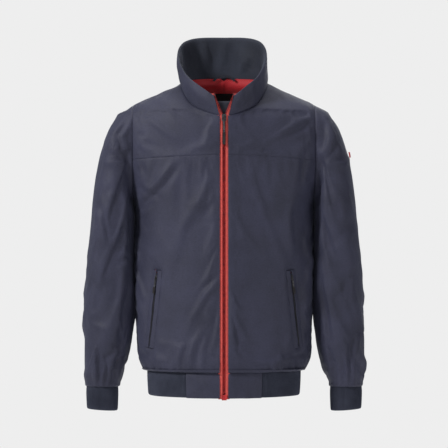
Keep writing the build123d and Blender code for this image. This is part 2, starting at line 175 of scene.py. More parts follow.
def grid_faces(rows, cols, start=0, flip=False, wrap=False):
    """Quads between the rows and columns of a grid; wrap joins its last column to its first."""
    i = np.arange(rows - 1)[:, None]
    j = np.arange(cols if wrap else cols - 1)[None, :]
    k = (j + 1) % cols
    a, b = i * cols + j, i * cols + k
    c, d = (i + 1) * cols + k, (i + 1) * cols + j
    quads = np.stack([a, b, c, d] if not flip else [a, d, c, b], axis=-1).reshape(-1, 4)
    return (quads + start).tolist()
def length_uvs(points):
    """UVs of a sheet's points: how far they are along their row and their column, in metres."""
    return np.stack([run_lengths(points, 1), run_lengths(points, 0)], axis=-1) * MM


def grid_object(name, points, flip=False):
    """A sheet from a rows x columns array of points in millimetres."""
    faces = grid_faces(*points.shape[:2], flip=flip)
    return new_object(name, points.reshape(-1, 3) * MM, faces, length_uvs(points).reshape(-1, 2))


def close_rings(rings):
    """Rings with their first column once more at the end."""
    return np.concatenate([rings, rings[:, :1]], axis=1)


def tube_object(name, rings, flip=False):
    """A tube from an array of closed rings of points in millimetres."""
    rows, cols = rings.shape[:2]
    faces = grid_faces(rows, cols, flip=flip, wrap=True)
    uvs = length_uvs(close_rings(rings))[:, :cols]
    return new_object(name, rings.reshape(-1, 3) * MM, faces, uvs.reshape(-1, 2))


def edit_mesh(obj, change):
    """Change a mesh through bmesh and shade it smooth."""
    bm = bmesh.new()
    bm.from_mesh(obj.data)
    change(bm)
    bm.to_mesh(obj.data)
    bm.free()
    obj.data.polygons.foreach_set("use_smooth", [True] * len(obj.data.polygons))


def welded_grids(name, parts, slant, distance, turn_faces):
    """One sheet from several (grid, flip) parts, joined where their edges meet."""
    verts, faces, start = [], [], 0
    for points, flip in parts:
        rows, cols = points.shape[:2]
        verts.append(points.reshape(-1, 3))
        faces += grid_faces(rows, cols, start=start, flip=flip)
        start += rows * cols
    verts = np.concatenate(verts)
    uvs = np.stack([verts[:, 0], verts[:, 2] * slant[1] + verts[:, 1] * slant[0]], axis=1) * MM
    obj = new_object(name, verts * MM, faces, uvs)

    def weld(bm):
        bmesh.ops.remove_doubles(bm, verts=bm.verts, dist=distance)
        if turn_faces:
            bmesh.ops.recalc_face_normals(bm, faces=bm.faces)

    edit_mesh(obj, weld)
    return obj


def grid_size(points):
    """Width, length and area of a sheet in metres, before folds are pressed into it."""
    across = np.linalg.norm(np.diff(points, axis=1), axis=2).sum(axis=1)
    up = np.linalg.norm(np.diff(points, axis=0), axis=2).sum(axis=0)
    a = points[1:, :-1] - points[:-1, :-1]
    b = points[:-1, 1:] - points[:-1, :-1]
    area = np.linalg.norm(np.cross(a, b), axis=2).sum() * MM * MM
    return across.max() * MM, up.max() * MM, area

def normals_of(points):
    """Unit normals of a grid of points."""
    n = np.cross(np.gradient(points, axis=1), np.gradient(points, axis=0))
    return n / np.maximum(np.linalg.norm(n, axis=-1, keepdims=True), 1e-9)


def outward_normals(points):
    """Unit normals of part of the body, away from its middle."""
    n = normals_of(points)
    return -n if np.sum(n * points * LEVEL, axis=-1).mean() < 0 else n


def level_outward(points, middle_y):
    """Level unit directions away from an upright line at (0, middle_y)."""
    out = (points - np.array([0.0, middle_y, 0.0])) * LEVEL
    return out / np.linalg.norm(out, axis=-1, keepdims=True)


def thicken(obj, thickness, offset=-1.0):
    m = obj.modifiers.new("thickness", "SOLIDIFY")
    m.thickness = thickness * MM
    m.offset = offset
    m.use_even_offset = False
    apply(obj, m)
    return obj


def apply(obj, modifier):
    bpy.context.view_layer.objects.active = obj
    for other in bpy.context.selected_objects:
        other.select_set(False)
    obj.select_set(True)
    bpy.ops.object.modifier_apply(modifier=modifier.name)

CLOTH_SETTINGS = {"quality": 5, "mass": 0.12, "tension_stiffness": 30,
                  "compression_stiffness": 22, "shear_stiffness": 10, "bending_stiffness": 0.9,
                  "air_damping": 3, "vertex_group_mass": "sewn"}
DRAPE_FRAMES = 16
DRAPE_GRAVITY = 0.35


def drape(points, free, grow, cap=9.0):
    """Simulate a sheet that is sewn down where free is 0 and a little too large elsewhere."""
    scene = bpy.context.scene
    obj = grid_object("drape_work", points)
    group = obj.vertex_groups.new(name="sewn")
    pins = np.round(1 - np.clip(free, 0, 1), 2).ravel()
    for value in np.unique(pins):
        if value > 0:
            group.add(np.nonzero(pins == value)[0].tolist(), float(value), "REPLACE")
    cloth = obj.modifiers.new("drape", "CLOTH")
    for name, value in CLOTH_SETTINGS.items():
        setattr(cloth.settings, name, value)
    cloth.settings.shrink_min = -grow
    cloth.settings.effector_weights.gravity = DRAPE_GRAVITY
    cloth.collision_settings.use_collision = False
    cloth.point_cache.frame_start = 1
    cloth.point_cache.frame_end = DRAPE_FRAMES
    for frame_number in range(1, DRAPE_FRAMES + 1):
        scene.frame_set(frame_number)
    moved = obj.evaluated_get(bpy.context.evaluated_depsgraph_get())
    flat = np.empty(len(moved.data.vertices) * 3)
    moved.data.vertices.foreach_get("co", flat)
    scene.frame_set(1)
    mesh = obj.data
    bpy.data.objects.remove(obj)
    bpy.data.meshes.remove(mesh)
    delta = flat.reshape(points.shape) / MM - points
    size = np.linalg.norm(delta, axis=-1, keepdims=True)
    delta *= np.minimum(1, cap * np.tanh(size / cap) / np.maximum(size, 1e-6))
    return points + delta * smooth(free * 3)[..., None]


def keep_off(points, base, out, low, high=40.0):
    """Keep cloth within low and high millimetres of its smooth surface, so it clears the lining."""
    depth = np.sum((points - base) * out, axis=-1)
    soft = 1.2
    held = low + soft * np.logaddexp(0, (depth - low) / soft)
    held = high - soft * np.logaddexp(0, (high - held) / soft)
    return points + out * (held - depth)[..., None]


# ---------------------------------------------------------------- materials
def srgb(r, g, b):
    """Linear colour from 8-bit display values."""
    out = []
    for c in (r, g, b):
        c = c / 255
        out.append(c / 12.92 if c <= 0.04045 else ((c + 0.055) / 1.055) ** 2.4)
    return (*out, 1)

class Nodes:
    """A material under construction."""

    def __init__(self, name, colour, roughness, sockets=()):
        self.material = bpy.data.materials.new(name)
        self.material.use_nodes = True
        self.tree = self.material.node_tree
        self.shader = self.tree.nodes["Principled BSDF"]
        self.shader.inputs["Base Color"].default_value = colour
        self.shader.inputs["Roughness"].default_value = roughness
        for key, value in dict(sockets).items():
            self.shader.inputs[key].default_value = value
        coords = self.tree.nodes.new("ShaderNodeTexCoord")
        self.uv = coords.outputs["UV"]
        self.body = coords.outputs["Object"]

    def node(self, kind, links, inputs=(), **settings):
        node = self.tree.nodes.new(kind)
        for key, value in settings.items():
            setattr(node, key, value)
        for key, value in dict(inputs).items():
            node.inputs[key].default_value = value
        for key, source in links.items():
            self.tree.links.new(source, node.inputs[key])
        return node

    def mapped(self, vector, values):
        return self.node("ShaderNodeMapping", {"Vector": vector}, values).outputs["Vector"]

    def noise(self, vector, scale, detail=2.0, roughness=0.5):
        values = {"Scale": scale, "Detail": detail, "Roughness": roughness}
        return self.node("ShaderNodeTexNoise", {"Vector": vector}, values).outputs["Fac"]

    def stripes(self, vector, period, direction, distortion, detail=2.0, detail_scale=1.0):
        """Bands of about the given period in metres."""
        values = {"Scale": 0.314 / period, "Distortion": distortion, "Detail": detail,
                  "Detail Scale": detail_scale}
        return self.node("ShaderNodeTexWave", {"Vector": vector}, values,
                         bands_direction=direction).outputs["Fac"]

    def combine(self, operation, one, two):
        return self.node("ShaderNodeMath", {0: one, 1: two}, operation=operation).outputs[0]

    def remap(self, source, low, high, ends="From"):
        """Stretch a value: its From ends are widened to 0 and 1, or its To ends replace them."""
        values = {ends + " Min": low, ends + " Max": high}
        return self.node("ShaderNodeMapRange", {"Value": source}, values).outputs["Result"]

    def colour(self, factor, one, two):
        mix = self.node("ShaderNodeMix", {"Factor": factor}, {6: one, 7: two}, data_type="RGBA")
        self.set("Base Color", mix.outputs[2])

    def set(self, socket, source):
        self.tree.links.new(source, self.shader.inputs[socket])

    def bump(self, height, strength, distance, after=None):
        links = {"Height": height}
        if after is not None:
            links["Normal"] = after
        values = {"Strength": strength, "Distance": distance}
        return self.node("ShaderNodeBump", links, values).outputs["Normal"]


def cloth_material(name, dark, light, thread=0.0009, roughness=0.62, sheen=0.12):
    """A plain-weave cloth: crossed threads, small slubs and faint creases."""
    m = Nodes(name, light, roughness,
              {"Sheen Weight": sheen, "Sheen Roughness": 0.45,
               "Sheen Tint": (0.55, 0.6, 0.75, 1), "Specular IOR Level": 0.32})
    warp, weft = [m.stripes(m.uv, thread, direction, 1.2, 1.0, 0.5) for direction in ("X", "Y")]
    weave = m.combine("MULTIPLY", warp, weft)
    slub = m.noise(m.mapped(m.body, {"Scale": (260, 260, 900)}), 1.0, 3)
    cloud = m.noise(m.body, 14, 4)
    m.colour(m.remap(m.combine("ADD", slub, cloud), 0.72, 1.28), dark, light)
    crease = m.noise(m.mapped(m.body, {"Scale": (95, 95, 60)}), 1.0, 5, 0.62)
    m.set("Normal", m.bump(weave, 0.5, 0.00012, m.bump(crease, 0.35, 0.0016)))
    m.set("Roughness", m.remap(cloud, roughness - 0.08, roughness + 0.1, "To"))
    return m.material


def knit_material(name, dark, light):
    """Rib knit: small stitches along each rib."""
    m = Nodes(name, light, 0.85,
              {"Sheen Weight": 0.25, "Sheen Roughness": 0.5, "Sheen Tint": (0.5, 0.55, 0.7, 1),
               "Specular IOR Level": 0.2})
    stitch = m.stripes(m.uv, 0.0014, "Y", 1.5, detail_scale=2)
    fuzz = m.noise(m.body, 700, 4)
    cloud = m.noise(m.body, 22)
    m.colour(m.remap(m.combine("ADD", fuzz, cloud), 0.75, 1.3), dark, light)
    m.set("Normal", m.bump(stitch, 0.6, 0.0003, m.bump(fuzz, 0.4, 0.0003)))
    return m.material


def mesh_cloth_material(name, thread_colour, hole_colour):
    """Warp-knit lining mesh: rows of small diamond holes."""
    m = Nodes(name, thread_colour, 0.6, {"Sheen Weight": 0.2})
    turned = m.mapped(m.uv, {"Rotation": (0, 0, math.radians(45))})
    one, two = [m.stripes(turned, 0.0030, direction, 0.3) for direction in ("X", "Y")]
    hole = m.remap(m.combine("MULTIPLY", one, two), 0.28, 0.55)
    m.colour(hole, thread_colour, hole_colour)
    half = m.node("ShaderNodeMath", {0: hole}, {1: 0.5}, operation="MULTIPLY")
    m.set("Normal", m.bump(half.outputs[0], 0.8, 0.0006))
    return m.material


def tape_material(name, dark, light):
    """Woven zip tape: fine herringbone ribs along its length."""
    m = Nodes(name, light, 0.55, {"Sheen Weight": 0.2, "Specular IOR Level": 0.35})
    rib = m.stripes(m.body, 0.0012, "DIAGONAL", 0.6)
    tone = m.combine("MULTIPLY", rib, m.noise(m.body, 160, 3))
    m.colour(m.remap(tone, 0.05, 0.55), dark, light)
    m.set("Normal", m.bump(rib, 0.5, 0.00015))
    return m.material


def metal_material(name, light, dark, roughness=0.34):
    """Plated metal with brushed wear."""
    m = Nodes(name, light, roughness, {"Metallic": 0.9})
    brush = m.noise(m.mapped(m.body, {"Scale": (2600, 2600, 260)}), 1.0, 3)
    m.colour(m.remap(m.noise(m.body, 240), 0.35, 0.7), dark, light)
    m.set("Roughness", m.remap(brush, roughness - 0.08, roughness + 0.16, "To"))
    m.set("Normal", m.bump(brush, 0.3, 0.0001))
    return m.material


def rubber_material(name, light, dark, roughness=0.5):
    """Moulded rubber or nylon with a fine grain."""
    m = Nodes(name, light, roughness, {"Specular IOR Level": 0.4})
    m.colour(m.remap(m.noise(m.body, 90), 0.35, 0.65), dark, light)
    m.set("Normal", m.bump(m.noise(m.body, 1500, 2), 0.35, 0.0001))
    return m.material


SHELL = cloth_material("shell_navy", srgb(41, 42, 58), srgb(56, 57, 77))
# inner collar cloth: its colour is darker than the shell's, as painted shade for the shadow inside
# the collar
COLLAR_IN_PAINTED_SHADE = cloth_material("collar_inner_navy_painted_shade", srgb(30, 33, 43), srgb(44, 48, 61),
                           roughness=0.8, sheen=0.2)
DARK = cloth_material("dark_cloth", srgb(30, 31, 40), srgb(42, 44, 56), roughness=0.75)
BLACK = cloth_material("label_black", srgb(15, 15, 18), srgb(26, 26, 30), thread=0.0006,
                       roughness=0.6, sheen=0.05)
RIB = knit_material("rib_navy", srgb(44, 47, 60), srgb(64, 67, 82))
MESH = mesh_cloth_material("lining_red_mesh", srgb(206, 26, 40), srgb(120, 8, 18))
TAPE = tape_material("zip_tape_red", srgb(186, 60, 56), srgb(226, 98, 88))
TEETH = rubber_material("zip_teeth_red", srgb(198, 52, 52), srgb(150, 34, 38), 0.45)
LOOP_DARK = cloth_material("loop_navy", srgb(30, 32, 42), srgb(44, 46, 58))
DARK_COIL = rubber_material("pocket_coil_black", srgb(34, 34, 40), srgb(22, 22, 26), 0.45)
METAL = metal_material("zip_metal_grey", srgb(128, 128, 132), srgb(74, 74, 78))
GRIP = rubber_material("grip_black", srgb(38, 36, 38), srgb(26, 24, 26), 0.5)
RED_TAB = cloth_material("tab_red", srgb(172, 22, 30), srgb(206, 34, 42), thread=0.0007,
                         roughness=0.55)


def paint(obj, material):
    obj.data.materials.clear()
    obj.data.materials.append(material)


def paint_cad(node, material):
    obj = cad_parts[node]
    obj = obj if isinstance(obj, bpy.types.Object) else bpy.data.objects[node]
    if not obj.data.materials:
        obj.data.materials.append(material)
    for slot in obj.material_slots:
        slot.material = material


# ---------------------------------------------------------------- the body's surface
# z, half width, front y, back y of level rings round the garment, in millimetres
RINGS = np.array([
    (-709, 170.5, -142, 108), (-690, 172, -141.4, 110), (-660, 174.5, -140, 113),
    (-649, 177, -139.6, 114.5), (-638, 183, -139, 116.5), (-622, 190, -138.3, 119),
    (-600, 194, -137.4, 121), (-550, 197.5, -135, 124), (-500, 200.5, -133, 127),
    (-400, 201, -128.6, 130),
    (-330, 201, -125.5, 133.5), (-290, 201.5, -123.8, 135), (-250, 210, -122, 134),
    (-190, 227, -119.4, 129), (-130, 237, -116.4, 119), (-112, 237.6, -114.4, 115),
    (-93, 236.5, -110.4, 110), (-84, 232.5, -106.6, 107.3), (-74, 225, -100.6, 104),
    (-64, 213, -92.4, 100.3), (-54, 196.5, -82.3, 96), (-45, 178, -72, 92), (-25, 132, -52, 81),
    (-8, 99, -31, 69), (6, 84, -18, 68)], float)
RING_T = np.concatenate([[0], np.cumsum(np.hypot(np.diff(RINGS[:, 1]), np.diff(RINGS[:, 0])))])
DENSE_T = np.linspace(0, RING_T[-1], 4000)
DENSE_RING = hermite(RING_T, RINGS, DENSE_T)
SQUARE = 0.93
ARM_X = 203.0
ARM_BOTTOM = -272.0
FRONT_EDGE = 9.3
HEM_SEAM = -649.0


def ring_at(t):
    """z, half width, front y and back y of the body at t."""
    return [np.interp(t, DENSE_T, DENSE_RING[:, i]) for i in range(4)]


def t_at(z):
    """The body's t, its length run up the side, at a height."""
    return np.interp(z, DENSE_RING[:, 0], DENSE_T)
def surface(t, angle):
    """A point on the left half of the body: angle 0 is the front, half a turn the back."""
    z, half_width, front, back = ring_at(t)
    centre, depth = (front + back) / 2, (back - front) / 2
    c = np.cos(angle)
    x, y = half_width * np.sin(angle), centre - depth * rounded(c, SQUARE)
    # the front edges stand up level with the zip as far as the collar
    y = y - 6.0 * np.exp(-(x / 34) ** 2) * smooth((z + 122) / 34) * (c > 0)
    return np.stack([x, y, z + 0 * angle], axis=-1)


def side_angle(t):
    """The angle of the side seam, where y is 0."""
    _, _, front, back = ring_at(t)
    ratio = np.clip((front + back) / (back - front), -0.95, 0.95)
    return np.arccos(rounded(ratio, 1 / SQUARE))


def x_angle(t, x):
    """The angle in the front quarter where the body is x wide."""
    return np.arcsin(np.clip(x / ring_at(t)[1], 0, 1))


ARM_LOW = float(t_at(ARM_BOTTOM))
top_part = DENSE_T > t_at(-120.0)
ARM_HIGH = float(np.interp(-ARM_X, -DENSE_RING[top_part, 1], DENSE_T[top_part]))

NECK_FRONT = np.array([(FRONT_EDGE, -86), (24, -82), (41, -76), (56, -70), (70, -61), (81, -48),
                       (89, -33), (94, -20), (95.5, -12)], float)
NECK_BACK = np.array([(180, 5.5), (152, 5), (128, 3), (104, -1), (82, -7)], float)


def neck_front(count):
    """t and angle of points along the front of the neck edge."""
    u = np.linspace(0, 1, count)
    curve = catmull(np.column_stack([NECK_FRONT, np.zeros(len(NECK_FRONT))]), u)
    t = t_at(curve[:, 1])
    return t, x_angle(t, curve[:, 0])


def neck_back(count):
    """t and angle of points along the back of the neck edge."""
    last_t = t_at(NECK_FRONT[-1, 1])
    last = math.degrees(float(x_angle(last_t, NECK_FRONT[-1, 0])))
    rows = np.vstack([NECK_BACK, (last, NECK_FRONT[-1, 1])])
    u = np.linspace(0, 1, count)
    curve = catmull(np.column_stack([rows[:, 0], rows[:, 1] * 3, np.zeros(len(rows))]), u)
    return t_at(curve[:, 1] / 3), np.radians(curve[:, 0])


STEP = 6.0
LOW_LEVELS = np.arange(HEM_SEAM + 8, ARM_BOTTOM, STEP)
# z and how far out the cloth rolls where it turns under at the hem seam
LIP = [(-645, -6.0), (-648, -5.2), (-650.2, -3.6), (-651, -1.6), (-650.4, -0.2), (-648, 0.7)]
FRONT_YOKE = -177.0
BACK_YOKE = -150.0
NECK_ROWS_F, NECK_ROWS_B = 30, 28


def build_half(front):
    """t and angle of the ends of one quarter's rows, from hem to shoulder, and the seam's row."""
    rows_t, rows_a = [], []

    def row(t0, a0, t1, a1):
        rows_t.append((t0, t1))
        rows_a.append((a0, a1))

    def inner(t):
        return float(x_angle(t, FRONT_EDGE)) if front else math.pi

    def arm(t):
        angle = float(x_angle(t, ARM_X))
        return angle if front else math.pi - angle

    def neck(curve, first, count):
        neck_t, neck_a = curve(count)
        arm_t = np.linspace(first, ARM_HIGH, count)
        for i in range(count):
            arm_a = arm(arm_t[i]) if i < count - 1 else math.pi / 2
            row(neck_t[i], neck_a[i], arm_t[i], arm_a)

    for z in [level for level, _ in LIP] + list(LOW_LEVELS):
        t = float(t_at(z))
        row(t, inner(t), t, float(side_angle(t)))
    if front:
        levels = np.concatenate([np.arange(ARM_BOTTOM, FRONT_YOKE - 7, STEP),
                                 FRONT_YOKE + np.array([-5, -2.2, -0.9, 0, 0.9, 2.2, 5]),
                                 np.arange(FRONT_YOKE + 10, -91, STEP)])
        for z in levels:
            lift = 5.0 * math.exp(-((z - FRONT_YOKE) / 60) ** 2)
            t0 = float(t_at(z + lift))
            t1 = max(float(t_at(z - lift)), ARM_LOW)
            row(t0, inner(t0), t1, arm(t1))
            if z == FRONT_YOKE:
                seam = len(rows_t) - 1
        neck(neck_front, float(t_at(-88)), NECK_ROWS_F)
    else:
        levels = np.concatenate([np.arange(ARM_BOTTOM, BACK_YOKE - 7, STEP),
                                 BACK_YOKE + np.array([-5, -2.2, -0.9, 0])])
        for z in levels:
            t = float(t_at(z))
            row(t, inner(t), t, arm(t))
        seam = len(rows_t) - 1
        seam_t, neck_t, shoulder_t = t_at(BACK_YOKE), t_at(5.5), t_at(-86.0)
        for share in np.concatenate([[0.012, 0.03, 0.06], np.linspace(0.1, 0.97, 22)]):
            t0 = float(seam_t) + share * float(neck_t - seam_t)
            t1 = float(seam_t) + share * float(shoulder_t - seam_t)
            row(t0, inner(t0), t1, arm(t1))
        neck(neck_back, float(shoulder_t), NECK_ROWS_B)
    return np.array(rows_t), np.array(rows_a), seam


def half_points(rows_t, rows_a, columns=58):
    """The smooth surface of a quarter of the body, from the ends of its rows."""
    u = np.linspace(0, 1, columns)[None, :]
    # points sit closer together at the two edges
    u = u - 0.06 * np.sin(2 * np.pi * u)
    t = rows_t[:, :1] * (1 - u) + rows_t[:, 1:] * u
    a = rows_a[:, :1] * (1 - u) + rows_a[:, 1:] * u
    return surface(t, a)


def mirrored(points):
    return points * np.array([-1.0, 1.0, 1.0])


front_t, front_a, front_seam = build_half(True)
back_t, back_a, back_seam = build_half(False)
front_base = half_points(front_t, front_a)
back_base = half_points(back_t, back_a)
bases = {"front_left": front_base, "front_right": mirrored(front_base),
         "back_left": back_base, "back_right": mirrored(back_base)}


# ---------------------------------------------------------------- folds of the body
# each fold: its line in x and z, width, depth, height of the lip beside it, side of the lip
FRONT_FOLDS = [
    # the long crease across the right side of the chest, and the small ones below it
    ([(-98, -196), (-135, -240), (-184, -284)], 8, 4.6, 0.7, -1),
    ([(-188, -242), (-165, -254), (-140, -262)], 5, 2.2, 0.5, 1),
    ([(-192, -292), (-176, -288), (-158, -276)], 5, 2.6, 0.5, -1),
    ([(-188, -345), (-176, -388)], 6, 2.0, 0.5, -1),
    ([(-186, -378), (-168, -396), (-150, -412)], 4, 2.2, 0.6, 1),
    ([(-172, -388), (-158, -420), (-150, -440)], 4, 2.0, 0.6, -1),
    # shoulders
    ([(-190, -84), (-168, -108), (-140, -130), (-92, -158)], 9, 4.2, 0.8, 1),
    ([(-150, -80), (-120, -100), (-98, -118)], 9, 2.2, 0.6, 1),
    ([(190, -100), (150, -124), (92, -160)], 9, 3.6, 0.8, -1),
    ([(180, -132), (140, -150), (98, -172)], 8, 2.2, 0.7, -1),
    ([(186, -150), (172, -210), (166, -250)], 9, 1.8, 0.5, 1),
    # long upright folds on the left side
    ([(72, -216), (104, -300), (146, -404)], 11, 3.6, 0.7, -1),
    ([(84, -306), (96, -350), (104, -404)], 7, 2.2, 0.6, -1),
    ([(150, -300), (168, -372), (176, -420)], 9, 2.2, 0.5, -1),
    ([(60, -420), (78, -500), (110, -560)], 14, 1.6, 0.5, -1),
    # lower right side: folds falling from the zip to the hem
    ([(-16, -440), (-52, -470), (-82, -520), (-100, -560)], 9, 4.2, 0.8, 1),
    ([(-60, -540), (-78, -580), (-92, -640)], 8, 3.4, 0.7, 1),
    ([(-12, -500), (-22, -545), (-34, -600)], 6, 2.4, 0.6, 1),
    ([(-30, -400), (-14, -370)], 4, 1.2, 0.5, 1),
    ([(-46, -560), (-56, -600), (-60, -640)], 6, 2.0, 0.6, 1),
    ([(-112, -600), (-118, -640)], 6, 2.2, 0.6, 1),
    ([(-118, -462), (-104, -474)], 4, 1.4, 0.5, 1),
    ([(-120, -452), (-136, -432)], 4, 1.2, 0.5, -1),
    ([(-122, -512), (-104, -500)], 4, 1.4, 0.5, 1),
    # beside the zip on the left
    ([(14, -510), (26, -560), (40, -628)], 6, 1.8, 0.6, -1),
    ([(18, -470), (34, -500)], 5, 1.2, 0.5, -1),
    ([(20, -590), (60, -632), (110, -640)], 6, 1.6, 0.6, 1),
    ([(46, -250), (30, -330), (22, -400)], 13, 1.2, 0.4, 1),
    ([(-36, -250), (-28, -330)], 13, 1.2, 0.4, 1),
]
BACK_FOLDS = [
    ([(0, -40), (6, -90), (-2, -140)], 12, 1.6, 0.5, 1),
    ([(-180, -110), (-130, -160), (-90, -230)], 11, 3.4, 0.7, -1),
    ([(182, -112), (128, -168), (84, -246)], 11, 3.4, 0.7, 1),
    ([(-186, -300), (-140, -350), (-70, -380)], 10, 3.0, 0.7, 1),
    ([(186, -312), (132, -366), (60, -388)], 10, 3.0, 0.7, -1),
    ([(-150, -430), (-90, -480), (-40, -560)], 12, 3.0, 0.6, -1),
    ([(150, -440), (98, -500), (46, -586)], 12, 3.0, 0.6, 1),
    ([(-20, -420), (-10, -520), (-16, -620)], 13, 2.2, 0.5, 1),
    ([(60, -200), (44, -300), (38, -400)], 14, 1.8, 0.5, 1),
    ([(-64, -210), (-50, -300), (-48, -390)], 14, 1.8, 0.5, -1),
]
FOLD_DEPTH = 2.1


def body_offset(p, outer_gap, seed, folds):
    """How far the cloth stands off the smooth body at each point."""
    out = np.zeros(p.shape[:-1])
    for line, width, depth, ridge, side in folds:
        out += fold(p, line, width * 0.82, depth * FOLD_DEPTH, ridge, side)
    broad = waves(p, seed, 118, lean=0.25 if seed % 2 else -0.25, spread=0.45)
    ripple = waves(p, seed + 3, 46, lean=0.0, spread=0.9)
    low = smooth((-p[..., 2] - 200) / 300)
    out += broad * (0.8 + 1.0 * low) + ripple * 0.28
    # gathers where the cloth meets the rib: all round the back, away from the zip in front
    gather = np.exp(-((p[..., 2] + 650) / 30) ** 2)
    away = 1.0 if folds is BACK_FOLDS else smooth((np.abs(p[..., 0]) - 70) / 40)
    angle = np.arctan2(p[..., 0], -p[..., 1])
    pleat = np.sin(angle * 46 + 2.2 * np.sin(angle * 7)) * (0.6 + 0.4 * np.sin(angle * 17 + 1))
    out += gather * (pleat + 0.5) * (0.5 + 2.2 * away)
    return out * outer_gap


def shape_quarter(p, seam, seed, folds, neck_rows):
    """The folded cloth of a quarter of the body and its directions outwards."""
    n = outward_normals(p)
    rows = p.shape[0]
    to_inner, up = run_lengths(p, 1), run_lengths(p, 0)
    to_side = to_inner[:, -1:] - to_inner
    window = smooth(to_side / 16)
    if folds is FRONT_FOLDS:
        window = window * (0.12 + 0.88 * smooth(to_inner / 10))
    window = window * smooth((up[-1:, :] - up) / 14)
    window[-neck_rows:] *= smooth(to_inner[-neck_rows:] / 14)
    offset = body_offset(p, window, seed, folds)
    # seam allowances make each seam a shallow groove with a fuller edge beside it
    offset += -0.25 * np.exp(-(to_side / 1.6) ** 2) + 0.3 * np.exp(-((to_side - 5) / 3) ** 2)
    to_seam = np.abs(up - up[seam][None, :])
    below = (np.arange(rows) <= seam)[:, None]
    offset += np.where(below, -0.9 * np.exp(-(to_seam / 1.6) ** 2),
                       -0.9 * np.exp(-(to_seam / 0.7) ** 2)
                       + 0.35 * np.exp(-((to_seam - 3.2) / 2.6) ** 2))
    offset[-neck_rows:] += -0.2 * np.exp(-(to_inner[-neck_rows:] / 2) ** 2)
    for i, (_, out) in enumerate(LIP):
        fade = 1 if i >= 3 else 0.35
        offset[i] = offset[i] * fade + out
    offset += 0.9 * smooth((up - up[len(LIP) - 1]) / 4) * np.exp(-(up / 42) ** 2)
    if folds is FRONT_FOLDS:
        offset += -0.7 * np.exp(-(to_inner / 2.2) ** 2)
    return p + n * offset[..., None], n


quarters = {}
for side, seed in (("left", 12), ("right", 11)):
    quarters["front_" + side] = shape_quarter(bases["front_" + side], front_seam, seed,
                                              FRONT_FOLDS, NECK_ROWS_F)
    quarters["back_" + side] = shape_quarter(bases["back_" + side], back_seam, 21,
                                             BACK_FOLDS, NECK_ROWS_B)


def edge_room(points, seam, high, reach=26.0):
    """How free each point is: 0 along the sewn edges, 1 well inside them, less at the seam."""
    u = run_lengths(points, 1)
    free = smooth(u / reach) * smooth((u[:, -1:] - u) / reach)
    index = np.arange(points.shape[0])[:, None]
    free *= smooth((index - len(LIP)) / 4.0) * smooth((high - index) / 4.0)
    return free * (0.25 + 0.75 * smooth(np.abs(index - seam) / 7.0))


def join_back(left, right):
    """The two back quarters side by side, from the right side seam to the left one."""
    return np.concatenate([right[:, ::-1], left[:, 1:]], axis=1)


BODY_GROW = 0.02
FRONT_DEEPEST, BACK_DEEPEST = -3.6, -5.0
neck_start = back_base.shape[0] - NECK_ROWS_B


def settle(name, points, deepest):
    """Keep a draped quarter clear of its lining, all but the lip at the hem."""
    n = quarters[name][1]
    points[len(LIP):] = keep_off(points, bases[name], n, deepest)[len(LIP):]
    quarters[name] = (points, n)


for side, _ in SIDES:
    p = quarters["front_" + side][0]
    free = edge_room(p, front_seam, p.shape[0] - NECK_ROWS_F + 14)
    settle("front_" + side, drape(p, free, BODY_GROW), FRONT_DEEPEST)
joined = join_back(quarters["back_left"][0], quarters["back_right"][0])
free = edge_room(joined, back_seam, neck_start - 1)
lower = drape(joined[:neck_start], free[:neck_start], BODY_GROW)
middle_column = back_base.shape[1] - 1
for side, draped in (("left", lower[:, middle_column:]),
                     ("right", lower[:, :middle_column + 1][:, ::-1])):
    p = quarters["back_" + side][0].copy()
    p[:neck_start] = draped
    settle("back_" + side, p, BACK_DEEPEST)


# ---------------------------------------------------------------- pocket recesses
def pocket_frame(sign):
    """A pocket mouth's middle and its directions up, across and out."""
    return (np.array([157.0 * sign, -80.91, -513.0]),
            np.array([-0.107643 * sign, -0.054196, 0.992711]),
            np.array([0.735097 * sign, 0.667934, 0.116174]),
            np.array([0.669362 * sign, -0.742245, 0.032059]))


POCKETS = {side: pocket_frame(sign) for side, sign in SIDES}
POCKET_LEVEL = -0.2
POCKET_DEPTH = 4.2


def press_pocket(points, side):
    """Flatten the cloth round a pocket mouth and sink the strip under its welts."""
    middle, up, across, out = POCKETS[side]
    d = points - middle
    u, v, w = d @ up, d @ across, d @ out
    near = smooth((92 - np.abs(u)) / 8) * smooth((13 - np.abs(v)) / 5) * (np.abs(w) < 30)
    flat = smooth((104 - np.abs(u)) / 20) * smooth((34 - np.abs(v)) / 22) * (np.abs(w) < 30)
    points = points - out * ((w - POCKET_LEVEL) * flat)[..., None]
    return points - out * (POCKET_DEPTH * near)[..., None]


for side, _ in SIDES:
    p, n = quarters["front_" + side]
    quarters["front_" + side] = (press_pocket(p, side), n)


# ---------------------------------------------------------------- cloth panels
def bend_front(obj, side):
    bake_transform(obj)


def bend_sleeve(obj, side):
    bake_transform(obj)


def dress(obj, material, replaced, move, where):
    """Give a piece its material, hide the CAD part it replaces, and parent it to a body or bake its
    place into its mesh.
    """
    paint(obj, material)
    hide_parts(replaced)
    move(obj, where)


def declare(base, extra_length=0.0, extra_area=0.0):
    """Work out a hanging sheet's flat size, measured on its surface before the folds; the sizes are
    not kept.
    """
    width, length, area = grid_size(base)
    width, length = round(width, 3), round(length + extra_length, 3)
    area = round(min(area + extra_area, width * length), 4)


def sheet(name, points, material, replaced, move, where, flip=False, base=None):
    """A hanging sheet; base is its smooth surface where that isn't its points."""
    obj = grid_object(name, points, flip=flip)
    dress(obj, material, replaced, move, where)
    declare(points if base is None else base)


def shell(name, points, base, replaced, move, where, flip):
    sheet(name, points, SHELL, replaced, move, where, flip, base)


for side, _ in SIDES:
    flip = side == "right"
    p, base = quarters["front_" + side][0], bases["front_" + side]
    shell("shell_front_panel_" + side, p[:front_seam + 1], base[len(LIP):front_seam + 1],
          "front_panel_" + side, bend_front, side, flip)
    shell("shell_front_yoke_" + side, p[front_seam:], base[front_seam:],
          "front_yoke_" + side, bend_front, side, flip)

